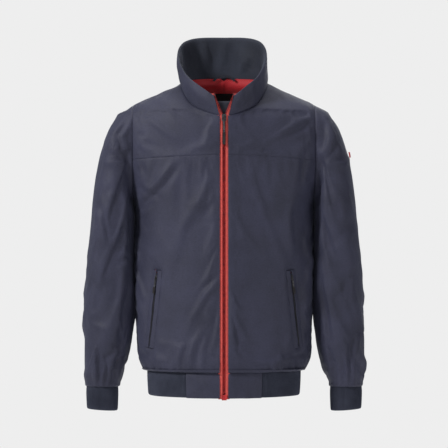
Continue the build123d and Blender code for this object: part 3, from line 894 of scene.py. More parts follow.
back_all = join_back(quarters["back_left"][0], quarters["back_right"][0])
back_base_all = join_back(bases["back_left"], bases["back_right"])
shell("shell_back_panel", back_all[:back_seam + 1], back_base_all[len(LIP):back_seam + 1],
      "back_panel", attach, "back", True)

yoke = welded_grids("shell_back_yoke",
                    [(back_all[back_seam:neck_start + 1], True),
                     (quarters["back_left"][0][neck_start:], False),
                     (quarters["back_right"][0][neck_start:], True)],
                    (0.3, 1.1), 0.00001, True)
dress(yoke, SHELL, "back_yoke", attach, "back")
yoke_width, _, yoke_area = grid_size(back_base_all[back_seam:neck_start + 1])
yoke_area += 2 * grid_size(back_base[neck_start:])[2]


# ---------------------------------------------------------------- sleeves
# near (x, z), far (x, z), half depth of rings down the left sleeve
SLEEVE = np.array([
    (202.5, -279, 248, -88, 68), (201, -286, 279, -156, 74), (199.5, -293, 292, -215, 77),
    (199, -304, 299, -268, 77.5), (199.5, -330, 304, -328, 76), (198.5, -380, 309, -380, 72),
    (198, -430, 312, -430, 68), (197.5, -480, 315, -480, 65), (199, -530, 316.5, -530, 62),
    (204, -570, 317.5, -570, 60), (211, -605, 318, -605, 56), (218, -632, 318, -632, 51),
    (224.5, -652, 317, -652, 47), (231, -668, 315.5, -668, 43), (235.5, -679, 313, -679, 40)],
    float)
phi = np.linspace(0, 2 * math.pi, 112, endpoint=False)
arm_top = float(ring_at(ARM_HIGH)[0])
arm_mid = (ARM_BOTTOM + arm_top) / 2
arm_half = arm_top - arm_mid


def armhole_ring():
    """The armhole edge of the body, from its top round the front."""
    z = arm_mid + arm_half * np.cos(phi)
    t = t_at(z)
    angle = x_angle(t, ARM_X)
    angle = np.where(np.sin(phi) >= 0, angle, math.pi - angle)
    p = surface(t, angle)
    p[:, 0] = np.where(np.abs(p[:, 0] - ARM_X) < 12, ARM_X, p[:, 0])
    return p


def sleeve_rings():
    """The smooth left sleeve: each ring's length from the armhole, and its points."""
    first = armhole_ring()
    knots = [0.0]
    cores = [np.array([ARM_X, ARM_BOTTOM, ARM_X, arm_mid + arm_half, 60.0])]
    for s in SLEEVE:
        previous = cores[-1]
        mid0 = (previous[:2] + previous[2:4]) / 2
        mid1 = (s[:2] + s[2:4]) / 2
        knots.append(knots[-1] + max(float(np.linalg.norm(mid1 - mid0)),
                                     float(np.linalg.norm(s[2:4] - previous[2:4])) * 0.75))
        cores.append(s)
    knots = np.array(knots)
    cores = np.array(cores)
    at = np.concatenate([np.linspace(0, knots[1], 9), np.arange(knots[1] + 5, knots[-1], 6.0),
                         [knots[-1]]])
    # smooth curves for the edges through their knots
    edges = catmull_knots(knots, cores, at)
    mid = (edges[:, :2] + edges[:, 2:4]) / 2
    half = (edges[:, 2:4] - edges[:, :2]) / 2
    depth = edges[:, 4]
    c, s = np.cos(phi)[None, :], np.sin(phi)[None, :]
    cc = rounded(c, 0.95)
    rings = np.stack([mid[:, :1] + half[:, :1] * cc, -depth[:, None] * s + 0 * c,
                      mid[:, 1:2] + half[:, 1:2] * cc], axis=-1)
    u = smooth(at / knots[3])[:, None, None]
    lead = np.stack([mid[:, :1] + half[:, :1] * c, first[None, :, 1] * (depth / 60.0)[:, None],
                     mid[:, 1:2] + half[:, 1:2] * c], axis=-1)
    rings = lead * (1 - u) + rings * u
    rings[0] = first
    return at, rings


sleeve_at, sleeve_base = sleeve_rings()
sleeve_bases = {"left": sleeve_base, "right": mirrored(sleeve_base)}
CUFF_X, CUFF_RADIUS = 273.5, 34.5

SLEEVE_FRONT = {
    "right": [
        ([(-214, -170), (-212, -230), (-209, -300), (-205, -384)], 8, 6.5, 0.5, -1),
        ([(-212, -92), (-238, -128), (-226, -160), (-206, -176)], 7, 4.2, 0.7, 1),
        ([(-272, -168), (-240, -174), (-212, -184)], 8, 5.0, 0.9, -1),
        ([(-282, -140), (-262, -158)], 7, 2.6, 0.6, 1),
        ([(-290, -272), (-276, -286), (-262, -330), (-256, -366)], 8, 3.6, 0.7, -1),
        ([(-216, -400), (-232, -410), (-244, -412)], 6, 2.4, 0.7, 1),
        ([(-300, -420), (-286, -480), (-282, -540)], 13, 2.4, 0.5, 1),
        ([(-210, -440), (-222, -500), (-222, -560)], 10, 3.0, 0.6, -1),
        ([(-286, -590), (-280, -640), (-278, -676)], 6, 4.6, 0.8, -1),
        ([(-236, -620), (-246, -650), (-248, -680)], 6, 3.8, 0.8, 1),
        ([(-262, -610), (-262, -672)], 7, 2.4, 0.6, 1),
    ],
    "left": [
        ([(216, -176), (212, -240), (208, -310), (204, -396)], 8, 7.0, 0.5, 1),
        ([(262, -120), (240, -160), (218, -190)], 8, 4.6, 0.8, -1),
        ([(226, -92), (222, -140), (220, -170)], 7, 3.0, 0.6, 1),
        ([(284, -160), (262, -176), (240, -178)], 8, 3.4, 0.8, 1),
        ([(300, -300), (262, -350), (240, -372)], 12, 2.4, 0.6, 1),
        ([(296, -420), (270, -470), (236, -500)], 12, 2.6, 0.6, -1),
        ([(214, -440), (228, -520), (240, -580)], 10, 3.0, 0.6, 1),
        ([(296, -560), (284, -620), (280, -672)], 7, 4.2, 0.8, 1),
        ([(236, -600), (248, -640), (250, -678)], 7, 3.8, 0.8, -1),
        ([(266, -600), (268, -670)], 7, 2.6, 0.6, 1),
    ],
}
SLEEVE_BACK = [
    ([(214, -170), (212, -240), (208, -330)], 9, 5.0, 0.5, 1),
    ([(270, -150), (240, -180), (216, -214)], 9, 4.0, 0.7, -1),
    ([(300, -360), (262, -400), (220, -418)], 11, 4.2, 0.8, 1),
    ([(302, -400), (266, -436), (226, -450)], 9, 3.2, 0.7, 1),
    ([(290, -470), (262, -540), (250, -600)], 12, 2.6, 0.6, -1),
    ([(290, -600), (284, -672)], 7, 3.6, 0.7, 1),
    ([(250, -600), (254, -672)], 7, 3.6, 0.7, -1),
]


SLEEVE_GROW, SLEEVE_CAP = 0.016, 7.0
SLEEVE_LOW, SLEEVE_HIGH = -4.5, 4.0
# z, share of the last ring's own shape, and gap outside the cuff, where the end rolls under
CUFF_ROLL = [(-683, 0.92, 2.6), (-686, 0.74, 2.6), (-688.3, 0.5, 2.2), (-689, 0.28, 1.4),
             (-687.6, 0.1, 0.6), (-684.5, 0.0, 0.2)]


def sleeve_tuck(ring, sign):
    """Rows of the sleeve's edge inside the armhole."""
    middle = ring.mean(axis=0)
    rows = []
    for inwards, shrink in ((14, 0.94), (7, 0.955), (1.5, 0.975)):
        row = middle + (ring - middle) * np.array([1, shrink, shrink])
        row[:, 0] -= inwards * sign
        rows.append(row)
    return np.array(rows)


def sleeve_roll(last, sign, pleat):
    """Rows of the sleeve's end, which rolls over and gathers into the cuff."""
    flat = last - np.array([CUFF_X * sign, 0.0, 0.0])
    angle = np.arctan2(flat[:, 1], flat[:, 0])
    reach = np.hypot(flat[:, 0], flat[:, 1])
    rows = []
    for z, weight, gap in CUFF_ROLL:
        radius = (CUFF_RADIUS + gap + 0.6 * pleat) * (1 - weight) + reach * weight
        rows.append(np.stack([CUFF_X * sign + radius * np.cos(angle), radius * np.sin(angle),
                              z + (last[:, 2] + 679) * weight + 1.2 * pleat * weight], axis=-1))
    return np.array(rows)


def shape_sleeve(side, sign):
    """The finished cloth of a sleeve, from inside the armhole to inside the cuff."""
    mirror = sign < 0
    base = sleeve_bases[side]
    n = normals_of(np.concatenate([base[:, -1:], base, base[:, :1]], axis=1))[:, 1:-1]
    if np.sum(n * (base - base.mean(axis=1, keepdims=True)), axis=-1).mean() < 0:
        n = -n
    back = smooth((base[..., 1] + 8) / 16)
    offset = np.zeros(base.shape[:-1])
    for line, width, depth, ridge, turn in SLEEVE_FRONT[side]:
        offset += fold(base, line, width * 0.85, depth * FOLD_DEPTH, ridge, turn) * (1 - back)
    for line, width, depth, ridge, turn in SLEEVE_BACK:
        path = [(x * sign, z) for x, z in line]
        offset += fold(base, path, width, depth * FOLD_DEPTH, ridge, turn * sign) * back
    offset *= 0.15 + 0.85 * smooth((np.abs(base[..., 0]) - ARM_X) / 10)
    offset += waves(base, 31 if mirror else 32, 95, lean=0.5, spread=0.6) * 1.1
    offset += waves(base, 35 if mirror else 36, 40, lean=0.9, spread=0.8) * 0.35
    place = (sleeve_at / sleeve_at[-1])[:, None]
    pleat = (np.sin(phi * 13 + 1.6 * np.sin(phi * 3 + (1 if mirror else 2)))
             * (0.7 + 0.3 * np.sin(phi * 5)))
    gather = smooth((place - 0.82) / 0.14) * (1 - 0.45 * smooth((place - 0.96) / 0.04))
    offset += pleat[None, :] * 1.9 * gather
    # the top ring is sewn to the body
    offset *= smooth(sleeve_at / 16)[:, None]
    roll = -0.25 * np.exp(-(sleeve_at / 1.8) ** 2) + 0.5 * np.exp(-((sleeve_at - 6) / 4) ** 2)
    offset += roll[:, None]
    loop = close_rings(base + n * offset[..., None])
    free = np.ones(loop.shape[:2]) * smooth((sleeve_at - 8) / 30)[:, None]
    free *= smooth((sleeve_at[-1] - sleeve_at) / 26)[:, None]
    free *= smooth((np.abs(loop[..., 0]) - 206) / 16)
    p = drape(loop, free, SLEEVE_GROW, SLEEVE_CAP)[:, :-1]
    p = keep_off(p, base, n, SLEEVE_LOW, SLEEVE_HIGH)
    return np.concatenate([sleeve_tuck(base[0], sign), p, sleeve_roll(p[-1], sign, pleat)])


# how much longer and larger the sleeve's cloth is than its smooth surface, in metres
SLEEVE_EXTRA_LENGTH, SLEEVE_EXTRA_AREA = 0.05, 0.012
for side, sign in SIDES:
    sleeve = tube_object("shell_sleeve_" + side, shape_sleeve(side, sign), flip=sign > 0)
    dress(sleeve, SHELL, "sleeve_" + side, bend_sleeve, side)
    declare(close_rings(sleeve_base), SLEEVE_EXTRA_LENGTH, SLEEVE_EXTRA_AREA)


# ---------------------------------------------------------------- rib cuffs and hem
RIB_SHAPE = 0.7
# z, radius and rib depth of rings from inside the sleeve, down, and up inside the cuff
CUFF_RINGS = np.array([
    (-676, 33.2, 0.3), (-680, 33.6, 0.5), (-684, 34.2, 0.75), (-690, 35.0, 0.8),
    (-698, 35.5, 0.8), (-708, 35.6, 0.8), (-718, 35.2, 0.8), (-728, 34.8, 0.8),
    (-736, 34.4, 0.75), (-739.5, 34.0, 0.6), (-741.3, 33.0, 0.35), (-741.6, 31.9, 0.25),
    (-740.5, 31.1, 0.3), (-737, 31.0, 0.4), (-728, 31.0, 0.4), (-712, 31.0, 0.4),
    (-700, 31.0, 0.4)])
CUFF_RIBS = 84
POINTS_PER_RIB = 6


def cuff_points(sign):
    angle = np.linspace(0, 2 * math.pi, CUFF_RIBS * POINTS_PER_RIB, endpoint=False)
    heights, radius, depth = CUFF_RINGS.T[:, :, None]
    reach = radius + depth * rounded(np.cos(angle * CUFF_RIBS), RIB_SHAPE)
    reach = reach + (0.5 * np.sin(2 * angle + 0.7) + 0.35 * np.sin(3 * angle + 2))
    tilt = 2.2 * np.cos(angle) * sign
    return np.stack([sign * 274 + reach * np.cos(angle) * 0.985, reach * np.sin(angle),
                     heights + tilt * smooth((-heights - 690) / 50)], axis=-1)


for side, sign in SIDES:
    cuff = tube_object("rib_cuff_knit_" + side, cuff_points(sign))
    dress(cuff, RIB, "rib_cuff_" + side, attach, "sleeve_" + side)


def hem_ring(z, angle):
    """A level ring of the hem: angle 0 is the front, positive to the left."""
    ring = surface(t_at(np.full(len(angle), z)), angle)
    ring[:, 2] = z
    return ring


def hem_rows(levels, angle, relief):
    """Rows of the hem at each (z, how far out), with relief(row, ring) millimetres on top."""
    away = np.stack([np.sin(angle), -np.cos(angle) * 1.2, 0 * angle], axis=-1)
    away /= np.linalg.norm(away, axis=-1, keepdims=True)
    rows = []
    for i, (z, out) in enumerate(levels):
        ring = hem_ring(z, angle)
        ring = ring + away * (out + relief(i, ring))[:, None]
        ring[:, 2] += 2.0 * smooth((-z - 650) / 58)
        rows.append(ring)
    return np.array(rows)


RIB_PERIOD = 3.1
HEM_MIDDLE = -680.0
# z, how far out from the body's surface, and rib depth, down the outside and up the inside
HEM_RIB = [(-644, -6.5, 0.2), (-649, -5.5, 0.4), (-653, -4.4, 0.6), (-658, -3.4, 0.7),
           (-666, -2.6, 0.75), (-676, -2.2, 0.8), (-686, -2.0, 0.8), (-696, -1.8, 0.8),
           (-703, -1.8, 0.75), (-706.5, -2.2, 0.6), (-708.2, -3.4, 0.35), (-707.8, -4.8, 0.3),
           (-705, -5.4, 0.4), (-698, -5.6, 0.4), (-684, -5.6, 0.4), (-666, -5.8, 0.4),
           (-650, -6.4, 0.3)]
HEM_BAND = [(-644, -4.5), (-649, -3.6), (-654, -2.8), (-660, -2.0), (-668, -1.2), (-678, -0.9),
            (-688, -0.9), (-698, -0.9), (-704, -0.8), (-707.5, -0.9), (-709, -1.7),
            (-708.4, -2.9), (-705, -3.8), (-698, -4.2), (-684, -4.4), (-666, -4.8),
            (-650, -5.2)]


def rib_band(name, low, high, replaced, move, where):
    """A length of rib knit round the hem, from one angle to another."""
    samples = np.linspace(low, high, 1600)
    run = run_lengths(hem_ring(HEM_MIDDLE, samples))
    ribs = int(round(run[-1] / RIB_PERIOD))
    place = np.linspace(0, run[-1], ribs * POINTS_PER_RIB + 1)
    angle = np.interp(place, run, samples)
    wave = rounded(np.cos(2 * np.pi * place / RIB_PERIOD), RIB_SHAPE)
    uneven = 0.8 * np.sin(5 * angle + 1) + 0.5 * np.sin(11 * angle)
    points = hem_rows([row[:2] for row in HEM_RIB], angle,
                      lambda i, ring: HEM_RIB[i][2] * wave + uneven)
    obj = grid_object(name, points)
    dress(obj, RIB, replaced, move, where)


def x_to_hem_angle(x):
    return math.asin(x / float(ring_at(t_at(HEM_MIDDLE))[1]))


side_a = float(side_angle(t_at(HEM_MIDDLE)))
band_a = x_to_hem_angle(83.0)
edge_a = x_to_hem_angle(FRONT_EDGE)
rib_band("rib_hem_knit_left", band_a, side_a, "rib_hem_left", bend_front, "left")
rib_band("rib_hem_knit_right", -side_a, -band_a, "rib_hem_right", bend_front, "right")
rib_band("rib_hem_knit_back", side_a, 2 * math.pi - side_a, "rib_hem_back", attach, "back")


def hem_band(side, sign, count=34):
    """The folded cloth band between the rib and the zip."""
    fade = np.sin(np.pi * np.linspace(0, 1, count)) ** 0.5

    def relief(_, ring):
        return 0.9 * waves(ring, 41 if sign > 0 else 42, 34, lean=0.7, spread=0.5) * fade

    angle = np.linspace(edge_a, band_a + 0.004, count) * sign
    obj = grid_object("hem_band_cloth_" + side, hem_rows(HEM_BAND, angle, relief),
                      flip=sign < 0)
    dress(obj, SHELL, "hem_band_" + side, bend_front, side)


for side, sign in SIDES:
    hem_band(side, sign)


# ---------------------------------------------------------------- collar
# points down one side of the collar, from its front edge to the middle of its back
TOP_EDGE = np.array([(22, -118, -43), (42, -112, -29), (64, -101, -13), (83, -80, 4),
                     (94, -57, 22), (102, -31, 42), (104, -8, 57), (101, 15, 73), (91, 37, 87),
                     (72, 57, 96), (48, 71, 100), (24, 78, 101), (0, 80, 101)], float)

HALF = 84


def collar_bottom():
    """The neck edge of the left half, from the front round to the back."""
    front = surface(*neck_front(40))
    back = surface(*neck_back(40))[::-1]
    return np.concatenate([front, back[1:]])


def spread_curve(points, count):
    """Points evenly spaced along a curve."""
    run = run_lengths(points)
    at = np.linspace(0, run[-1], count)
    return np.stack([np.interp(at, run, points[:, i]) for i in range(3)], axis=-1)


bottom_half = spread_curve(collar_bottom(), HALF)
top_half = spread_curve(catmull(TOP_EDGE, np.linspace(0, 1, 400)), HALF)
COLLAR_MIDDLE_Y = -12.0
collar_out = level_outward((bottom_half + top_half) / 2, COLLAR_MIDDLE_Y)
# share of the collar's height and how far out, up the outer cloth and down the inner one
LEVELS_OUT = [(-0.07, -4.0), (-0.02, -1.4), (0.0, -0.1), (0.02, 0.6), (0.05, 1.2), (0.12, 2.2),
              (0.22, 3.4), (0.34, 4.4), (0.47, 5.0), (0.6, 5.0), (0.72, 4.4), (0.83, 3.4),
              (0.91, 2.2), (0.955, 1.6), (0.985, 1.0), (1.0, 0.0)]
LEVELS_IN = [(1.0, 0.0), (0.99, -2.4), (0.96, -4.2), (0.9, -4.6), (0.8, -4.2), (0.7, -3.6),
             (0.58, -3.2), (0.46, -3.0), (0.34, -3.2), (0.22, -3.8), (0.12, -4.6), (0.04, -5.4),
             (0.0, -5.8), (-0.06, -4.4)]

COLLAR_FOLDS_IN = [([(-28, 84), (-20, 50), (-22, 14)], 7, 2.6, 0.8, 1),
                   ([(10, 80), (14, 48), (12, 16)], 6, 2.2, 0.7, -1),
                   ([(40, 18), (58, 30), (74, 44)], 5, 3.4, 0.8, 1),
                   ([(32, 74), (36, 44), (30, 20)], 6, 1.6, 0.6, 1),
                   ([(-70, 80), (-62, 40), (-56, 10)], 9, 2.0, 0.6, 1)]
COLLAR_FOLDS_OUT = [([(-78, -30), (-60, -56), (-28, -78)], 6, 2.2, 0.7, 1),
                    ([(76, -30), (56, -58), (24, -80)], 6, 1.8, 0.7, -1),
                    ([(-88, -18), (-64, -42), (-36, -62)], 5, 1.2, 0.6, 1)]


def collar_half(levels, side, inner):
    """Half of the outer or inner collar with its folds."""
    p = np.array([bottom_half * (1 - h) + top_half * h + collar_out * out
                  for h, out in levels])
    if side == "right":
        p = mirrored(p)
    n = level_outward(p, COLLAR_MIDDLE_Y)
    height = np.clip(np.array([h for h, _ in levels]), 0.0, 1.0)[:, None]
    edge = smooth(np.linspace(0, 1, p.shape[1])[None, :] / 0.06)
    bump = waves(p, 51 if inner else 54, 60, lean=0.1, spread=0.35) * (1.5 if inner else 0.9)
    bump = bump + waves(p, 57, 26, lean=0.15, spread=0.3) * (0.5 if inner else 0.25)
    where = smooth(((p[..., 1] if inner else -p[..., 1]) - 10) / 30)
    folds = COLLAR_FOLDS_IN if inner else COLLAR_FOLDS_OUT
    bump = bump + where * sum(fold(p, *crease) for crease in folds)
    if inner:
        bump = -1.5 * bump
        bump = np.where(bump > 0.5, 0.5 + (bump - 0.5) * 0.12, bump)
    p = p + n * (bump * np.sin(np.pi * height) * edge)[..., None]
    if side == "left":
        p[..., 0] *= 1 - 0.08 * smooth(height / 0.6) * smooth(np.abs(p[..., 0]) / 60)
    return p


# the column of each half where the collar's front meets its back
BACK_FROM = int(np.argmin(np.abs((bottom_half[:, 1] + top_half[:, 1]) / 2)))
# the inner collar's cloth is painted darker than the shell as shade inside the collar
for word, levels, material, slot in (("outer", LEVELS_OUT, SHELL, "shell_cloth"),
                                     ("inner", LEVELS_IN, COLLAR_IN_PAINTED_SHADE, "collar_lining")):
    inner = word == "inner"
    halves = {side: collar_half(levels, side, inner) for side, _ in SIDES}
    for side, _ in SIDES:
        sheet(f"collar_{word}_cloth_{side}", halves[side][:, :BACK_FROM + 1], material,
              f"collar_{word}_{side}", bend_front, side, (side == "right") != inner)
    back = join_back(halves["left"][:, BACK_FROM:][:, ::-1],
                     halves["right"][:, BACK_FROM:][:, ::-1])
    sheet(f"collar_{word}_cloth_back", back, material, f"collar_{word}_back",
          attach, "back", not inner)


# ---------------------------------------------------------------- lining
LINING_BACK, LINING_FRONT, LINING_SLEEVE, POCKET_BAG = 9.5, 8.6, 9.0, 7.2


def inset(points, depth, every_row, every_column, neck=0):
    """A sheet inside part of the body, tucked closer at the neck edge of its last rows."""
    p = points - outward_normals(points) * depth
    if neck:
        edge = points[-neck:, :1]
        target = edge - level_outward(edge, COLLAR_MIDDLE_Y) * 6.2
        near = np.linalg.norm(points[-neck:] - edge, axis=-1, keepdims=True)
        p[-neck:] = p[-neck:] + (target - p[-neck:, :1]) * (1 - smooth(near / 26))
    rows = sorted(set(range(0, p.shape[0], every_row)) | {p.shape[0] - 1})
    columns = sorted(set(range(0, p.shape[1], every_column)) | {p.shape[1] - 1})
    return p[rows][:, columns]


lining_left = inset(bases["back_left"][len(LIP):], LINING_BACK, 2, 2, NECK_ROWS_B)
lining_right = inset(bases["back_right"][len(LIP):], LINING_BACK, 2, 2, NECK_ROWS_B)
lining = welded_grids("lining_mesh_back", [(lining_left, True), (lining_right, False)],
                      (0, 1), 0.0004, False)
dress(lining, MESH, "back_lining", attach, "back")
declare(join_back(lining_left, lining_right))


def sleeve_lining(side, sign):
    """Rings inside the sleeve, ending inside the cuff."""
    rings = sleeve_bases[side]
    core = rings.mean(axis=1, keepdims=True)
    away = rings - core
    size = np.linalg.norm(away, axis=-1, keepdims=True)
    inner = (core + away * (size - LINING_SLEEVE) / size)[::2, ::2]
    angle = phi[::2]
    tail = [np.stack([sign * (274 + r * np.cos(angle)), -r * np.sin(angle), 0 * angle + z],
                     axis=-1) for z, r in ((-672, 38), (-684, 32), (-692, 30))]
    return np.concatenate([inner, np.array(tail)])


def pocket_bag(base):
    """The part of the front just inside the shell that lies round the pocket."""
    bag = inset(base, POCKET_BAG, 1, 1)
    rows = np.where((bag[:, 20, 2] > -632) & (bag[:, 20, 2] < -440))[0]
    columns = [i for i in range(bag.shape[1]) if 72 < abs(bag[rows[10], i, 0]) < 168]
    return bag[rows][:, columns]


for side, sign in SIDES:
    base = bases["front_" + side][len(LIP):]
    full = inset(base, LINING_FRONT, 2, 1, NECK_ROWS_F)
    cut = int(np.argmin(np.abs(full[10, :, 0]) < 62))
    sheet("lining_mesh_front_" + side, full[:, cut:], MESH,
          "front_lining_" + side, bend_front, side, sign > 0)
    sheet("facing_cloth_" + side, full[:, :cut + 1], DARK, "facing_" + side,
          bend_front, side, sign > 0)
    rings = sleeve_lining(side, sign)
    tube = tube_object("lining_sleeve_cloth_" + side, rings, flip=sign < 0)
    dress(tube, DARK, "sleeve_lining_" + side, bend_sleeve, side)
    declare(close_rings(rings))
    sheet("pocket_bag_cloth_" + side, pocket_bag(base), DARK,
          "pocket_bag_" + side, bend_front, side, sign < 0)


# ---------------------------------------------------------------- label, loop, storm flap
LABEL_INSET = 12.5


def on_neck_back(degrees, z):
    """Points inside the back of the neck, in front of the lining."""
    p = surface(t_at(np.minimum(z, -6.0)), np.radians(180 - np.abs(degrees)))
    p[..., 0] *= np.sign(degrees + 1e-9)
    return p - level_outward(p, 10.0) * LABEL_INSET


degrees = np.linspace(-21, 21, 25)
label = grid_object("neck_label_blank", np.array(
    [on_neck_back(degrees, np.full(25, z)) for z in np.linspace(-66, -28, 12)]))
dress(label, BLACK, "neck_label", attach, "back")

paint_cad("hanger_loop", LOOP_DARK)

plane_o = np.array([0.0, -115.0, -88.0])
plane_up = np.array([0.0, 0.043437, 0.999056])
plane_out = np.array([0.0, -0.999056, 0.043437])


def on_plane(x, s, out):
    """A point x to the left of the zip line, s up it and out in front of it."""
    return plane_o + np.array([x, 0, 0]) + plane_up * s + plane_out * out


flap_rows = np.concatenate([np.linspace(-616, -20, 72), np.linspace(-10, 34, 8)])
grid = np.array([[on_plane(-3 + (x + 3) * (1 + 0.25 * smooth(s / 34)), s,
                           -8.6 + 0.7 * math.sin(s / 31 + x / 9))
                  for x in np.linspace(-20, 14, 12)] for s in flap_rows])
flap = thicken(grid_object("storm_flap_cloth", grid), 1.0, 0.0)
dress(flap, DARK, "storm_flap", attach, "front_right")

# ---------------------------------------------------------------- zips
ZIP_LENGTH, ZIP_TOP, V_SLOPE = 611.0, 50.0, 0.4
TOOTH_PITCH = 2.6
TOOTH_SIZE = (2.9, 1.7, 2.6)
TOOTH_TAPER = 0.72
X = np.array([1.0, 0.0, 0.0])
# x and height of the tape's section, from its outer edge to beside the teeth
TAPE_SECTION = [(12.4, -3.0), (11.0, -2.8), (9.0, -2.75), (7.0, -2.5), (5.4, -2.3), (4.2, -2.0),
                (3.5, -2.2), (3.1, -2.9)]


def add_tooth(bm, x, s):
    """A small block with a narrower outer face."""
    centre = on_plane(x, s, -2.3)
    half_x, half_up, half_out = [size / 2 for size in TOOTH_SIZE]
    verts = []
    for k in (-1, 1):
        shrink = 1.0 if k < 0 else TOOTH_TAPER
        for i, j in ((-1, -1), (1, -1), (1, 1), (-1, 1)):
            p = (centre + X * (i * half_x * shrink) + plane_up * (j * half_up * shrink)
                 + plane_out * (k * half_out))
            verts.append(bm.verts.new(tuple(p * MM)))
    for face in ((3, 2, 1, 0), (4, 5, 6, 7), (0, 1, 5, 4), (1, 2, 6, 5), (2, 3, 7, 6),
                 (3, 0, 4, 7)):
        bm.faces.new([verts[i] for i in face])


def zip_teeth(side, sign):
    """One row of teeth: straight up the front, then leaning away in the open V."""
    bm = bmesh.new()
    for i in range(int((ZIP_LENGTH - 4) / TOOTH_PITCH)):
        s = -ZIP_LENGTH + 3 + i * TOOTH_PITCH + (TOOTH_PITCH / 2 if sign > 0 else 0)
        if s > -4:
            break
        add_tooth(bm, sign * 1.75, s)
    for i in range(int(ZIP_TOP / TOOTH_PITCH)):
        s = 4 + i * TOOTH_PITCH
        add_tooth(bm, sign * (1.75 + s * V_SLOPE), s)
    mesh = bpy.data.meshes.new("zip_teeth_row_" + side)
    bmesh.ops.recalc_face_normals(bm, faces=bm.faces)
    bm.to_mesh(mesh)
    bm.free()
    teeth = bpy.data.objects.new(mesh.name, mesh)
    bpy.context.scene.collection.objects.link(teeth)
    bevel = teeth.modifiers.new("edges", "BEVEL")
    bevel.width = 0.00025
    bevel.segments = 1
    apply(teeth, bevel)
    dress(teeth, TEETH, "zip_teeth_" + side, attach, "front_" + side)


def zip_tape(side, sign):
    levels = np.concatenate([np.arange(-621, 0, 4.0), np.arange(0, ZIP_TOP + 1, 2.5)])
    grid = np.array([[on_plane(sign * (x + max(0.0, s) * V_SLOPE), s, height)
                      for x, height in TAPE_SECTION] for s in levels])
    tape = thicken(grid_object("zip_tape_woven_" + side, grid, flip=sign > 0), 0.6)
    dress(tape, TAPE, "zip_tape_" + side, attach, "front_" + side)


for side, sign in SIDES:
    zip_teeth(side, sign)
    zip_tape(side, sign)
    paint_cad("zip_top_stop_" + side, METAL)
    paint_cad("pocket_slider_" + side, METAL)
    paint_cad("pocket_pull_" + side, METAL)
    paint_cad("pocket_grip_" + side, GRIP)
    paint_cad("pocket_zip_" + side, DARK_COIL)
for node, material in (("zip_slider", METAL), ("zip_pull", METAL), ("zip_grip", GRIP),
                       ("zip_box", TEETH), ("zip_pin", TEETH)):
    paint_cad(node, material)


def unit(vector):
    return vector / np.linalg.norm(vector)


# ---------------------------------------------------------------- sleeve tab and pocket welts
tab_low, tab_high = [np.array(corner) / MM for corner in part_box("sleeve_tab")]
tab_mid = (tab_low + tab_high) / 2
TAB_TURN = math.radians(24)
tab_out = unit(np.array([math.cos(TAB_TURN), -math.sin(TAB_TURN), 0.17]))
tab_across = unit(np.cross([0, 0, 1.0], tab_out))
tab_up = np.cross(tab_out, tab_across)
grid = np.array([[tab_mid + tab_across * x + tab_up * z
                  + tab_out * (0.6 - 0.02 * x * x - 0.012 * z * z)
                  for x in np.linspace(-3.5, 3.5, 8)] for z in np.linspace(-6, 6, 12)])
tab = thicken(grid_object("sleeve_tab_cloth", grid), 1.0, 1.0)
dress(tab, RED_TAB, "sleeve_tab", bend_sleeve, "left")

WELT_HALF = 86
# distance from the mouth and height of a welt's section, from its outer edge round its fold
WELT_SECTION = np.array([(14.0, -0.6), (12.5, 0.05), (10.0, 0.35), (7.0, 0.8), (5.0, 1.1),
                         (3.6, 1.0), (2.7, 0.6), (2.3, -0.1), (2.6, -0.9), (3.4, -1.4),
                         (5.0, -1.6)])


def welt_row(side, edge, u):
    """A welt's section at u along the mouth; the mouth closes towards its ends."""
    middle, up, across, out = POCKETS[side]
    close = math.sqrt(max(0.0, 1 - (abs(u) / WELT_HALF) ** 8))
    wave = 0.5 * math.sin(u / 17 + edge) + 0.25 * math.sin(u / 6.1)
    return [middle + up * u
            + across * (edge * (q - (1 - close) * 2.3 * (q < 5)) + wave * 0.8 * (q < 9))
            + out * (height + 0.2 * wave) for q, height in WELT_SECTION]


for side, sign in SIDES:
    for name, edge in (("front", -1), ("back", 1)):
        grid = np.array([welt_row(side, edge, u)
                         for u in np.linspace(-WELT_HALF, WELT_HALF, 60)])
        welt = grid_object(f"pocket_welt_{name}_{side}", grid, flip=edge == sign)
        dress(welt, SHELL, "pocket_welt_" + side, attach, "front_" + side)

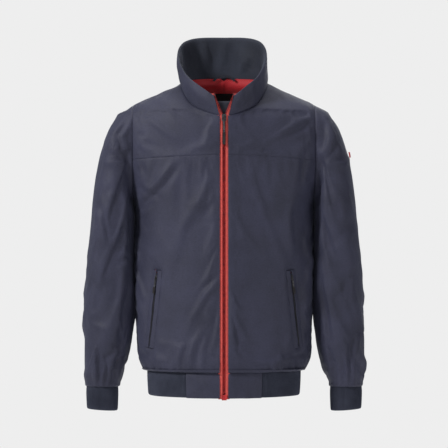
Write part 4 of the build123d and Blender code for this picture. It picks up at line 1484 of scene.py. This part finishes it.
# ---------------------------------------------------------------- floor, lights, camera
FLOOR_RADIUS = 5.2
FLOOR_HEIGHT = -1.45
floor_mesh = bpy.data.meshes.new("studio_floor")
ring = [(FLOOR_RADIUS * math.cos(a), FLOOR_RADIUS * math.sin(a), 0)
        for a in np.linspace(0, 2 * math.pi, 97)[:-1]]
floor_mesh.from_pydata(ring, [], [list(range(len(ring)))])
floor = bpy.data.objects.new("studio_floor", floor_mesh)
floor.location.z = FLOOR_HEIGHT
bpy.context.scene.collection.objects.link(floor)
floor_look = Nodes("studio_floor_pale", srgb(232, 232, 232), 0.9,
                   {"Emission Color": srgb(232, 232, 232), "Emission Strength": 0.55})
floor_look.colour(floor_look.noise(floor_look.body, 30), srgb(180, 180, 180),
                  srgb(186, 186, 186))
paint(floor, floor_look.material)

# the camera sees the bright background; the object is lit by a dimmer one
world = bpy.data.worlds.new("studio")
bpy.context.scene.world = world
world.use_nodes = True
tree = world.node_tree
seen = tree.nodes["Background"]
lighting = tree.nodes.new("ShaderNodeBackground")
for node, colour, strength in ((seen, srgb(238, 238, 238), 1.0),
                               (lighting, srgb(238, 238, 240), 0.19)):
    node.inputs["Color"].default_value = colour
    node.inputs["Strength"].default_value = strength
path = tree.nodes.new("ShaderNodeLightPath")
mix = tree.nodes.new("ShaderNodeMixShader")
for source, target in ((path.outputs["Is Camera Ray"], mix.inputs[0]),
                       (lighting.outputs[0], mix.inputs[1]), (seen.outputs[0], mix.inputs[2]),
                       (mix.outputs[0], tree.nodes["World Output"].inputs["Surface"])):
    tree.links.new(source, target)


def area_light(name, at, target, size, power):
    data = bpy.data.lights.new(name, "AREA")
    data.shape = "RECTANGLE"
    data.size, data.size_y = size
    data.energy = power
    lamp = bpy.data.objects.new(name, data)
    lamp.location = at
    lamp.rotation_euler = (Vector(target) - Vector(at)).to_track_quat("-Z", "Y").to_euler()
    bpy.context.scene.collection.objects.link(lamp)


area_light("key", (-2.3, -1.75, 1.35), (0, 0, -0.35), (0.6, 0.9), 88)
area_light("fill", (2.4, -2.5, 0.3), (0, 0, -0.35), (1.4, 2.0), 26)
area_light("top", (0, 0.1, 2.2), (0, 0, -0.2), (1.4, 1.0), 30)
area_light("back", (0.4, 2.6, 0.9), (0, 0, -0.3), (1.8, 1.8), 30)

CAMERA_DISTANCE = 5.0
VIEW_WIDTH = 1.008
camera_data = bpy.data.cameras.new("camera")
camera_data.sensor_width = 36
camera_data.lens = 36 * CAMERA_DISTANCE / VIEW_WIDTH
camera = bpy.data.objects.new("camera", camera_data)
camera.location = (0.0, -CAMERA_DISTANCE, -0.325)
camera.rotation_euler = (math.radians(90), 0, 0)
bpy.context.scene.collection.objects.link(camera)
bpy.context.scene.camera = camera
bpy.context.scene.view_settings.view_transform = "Standard"
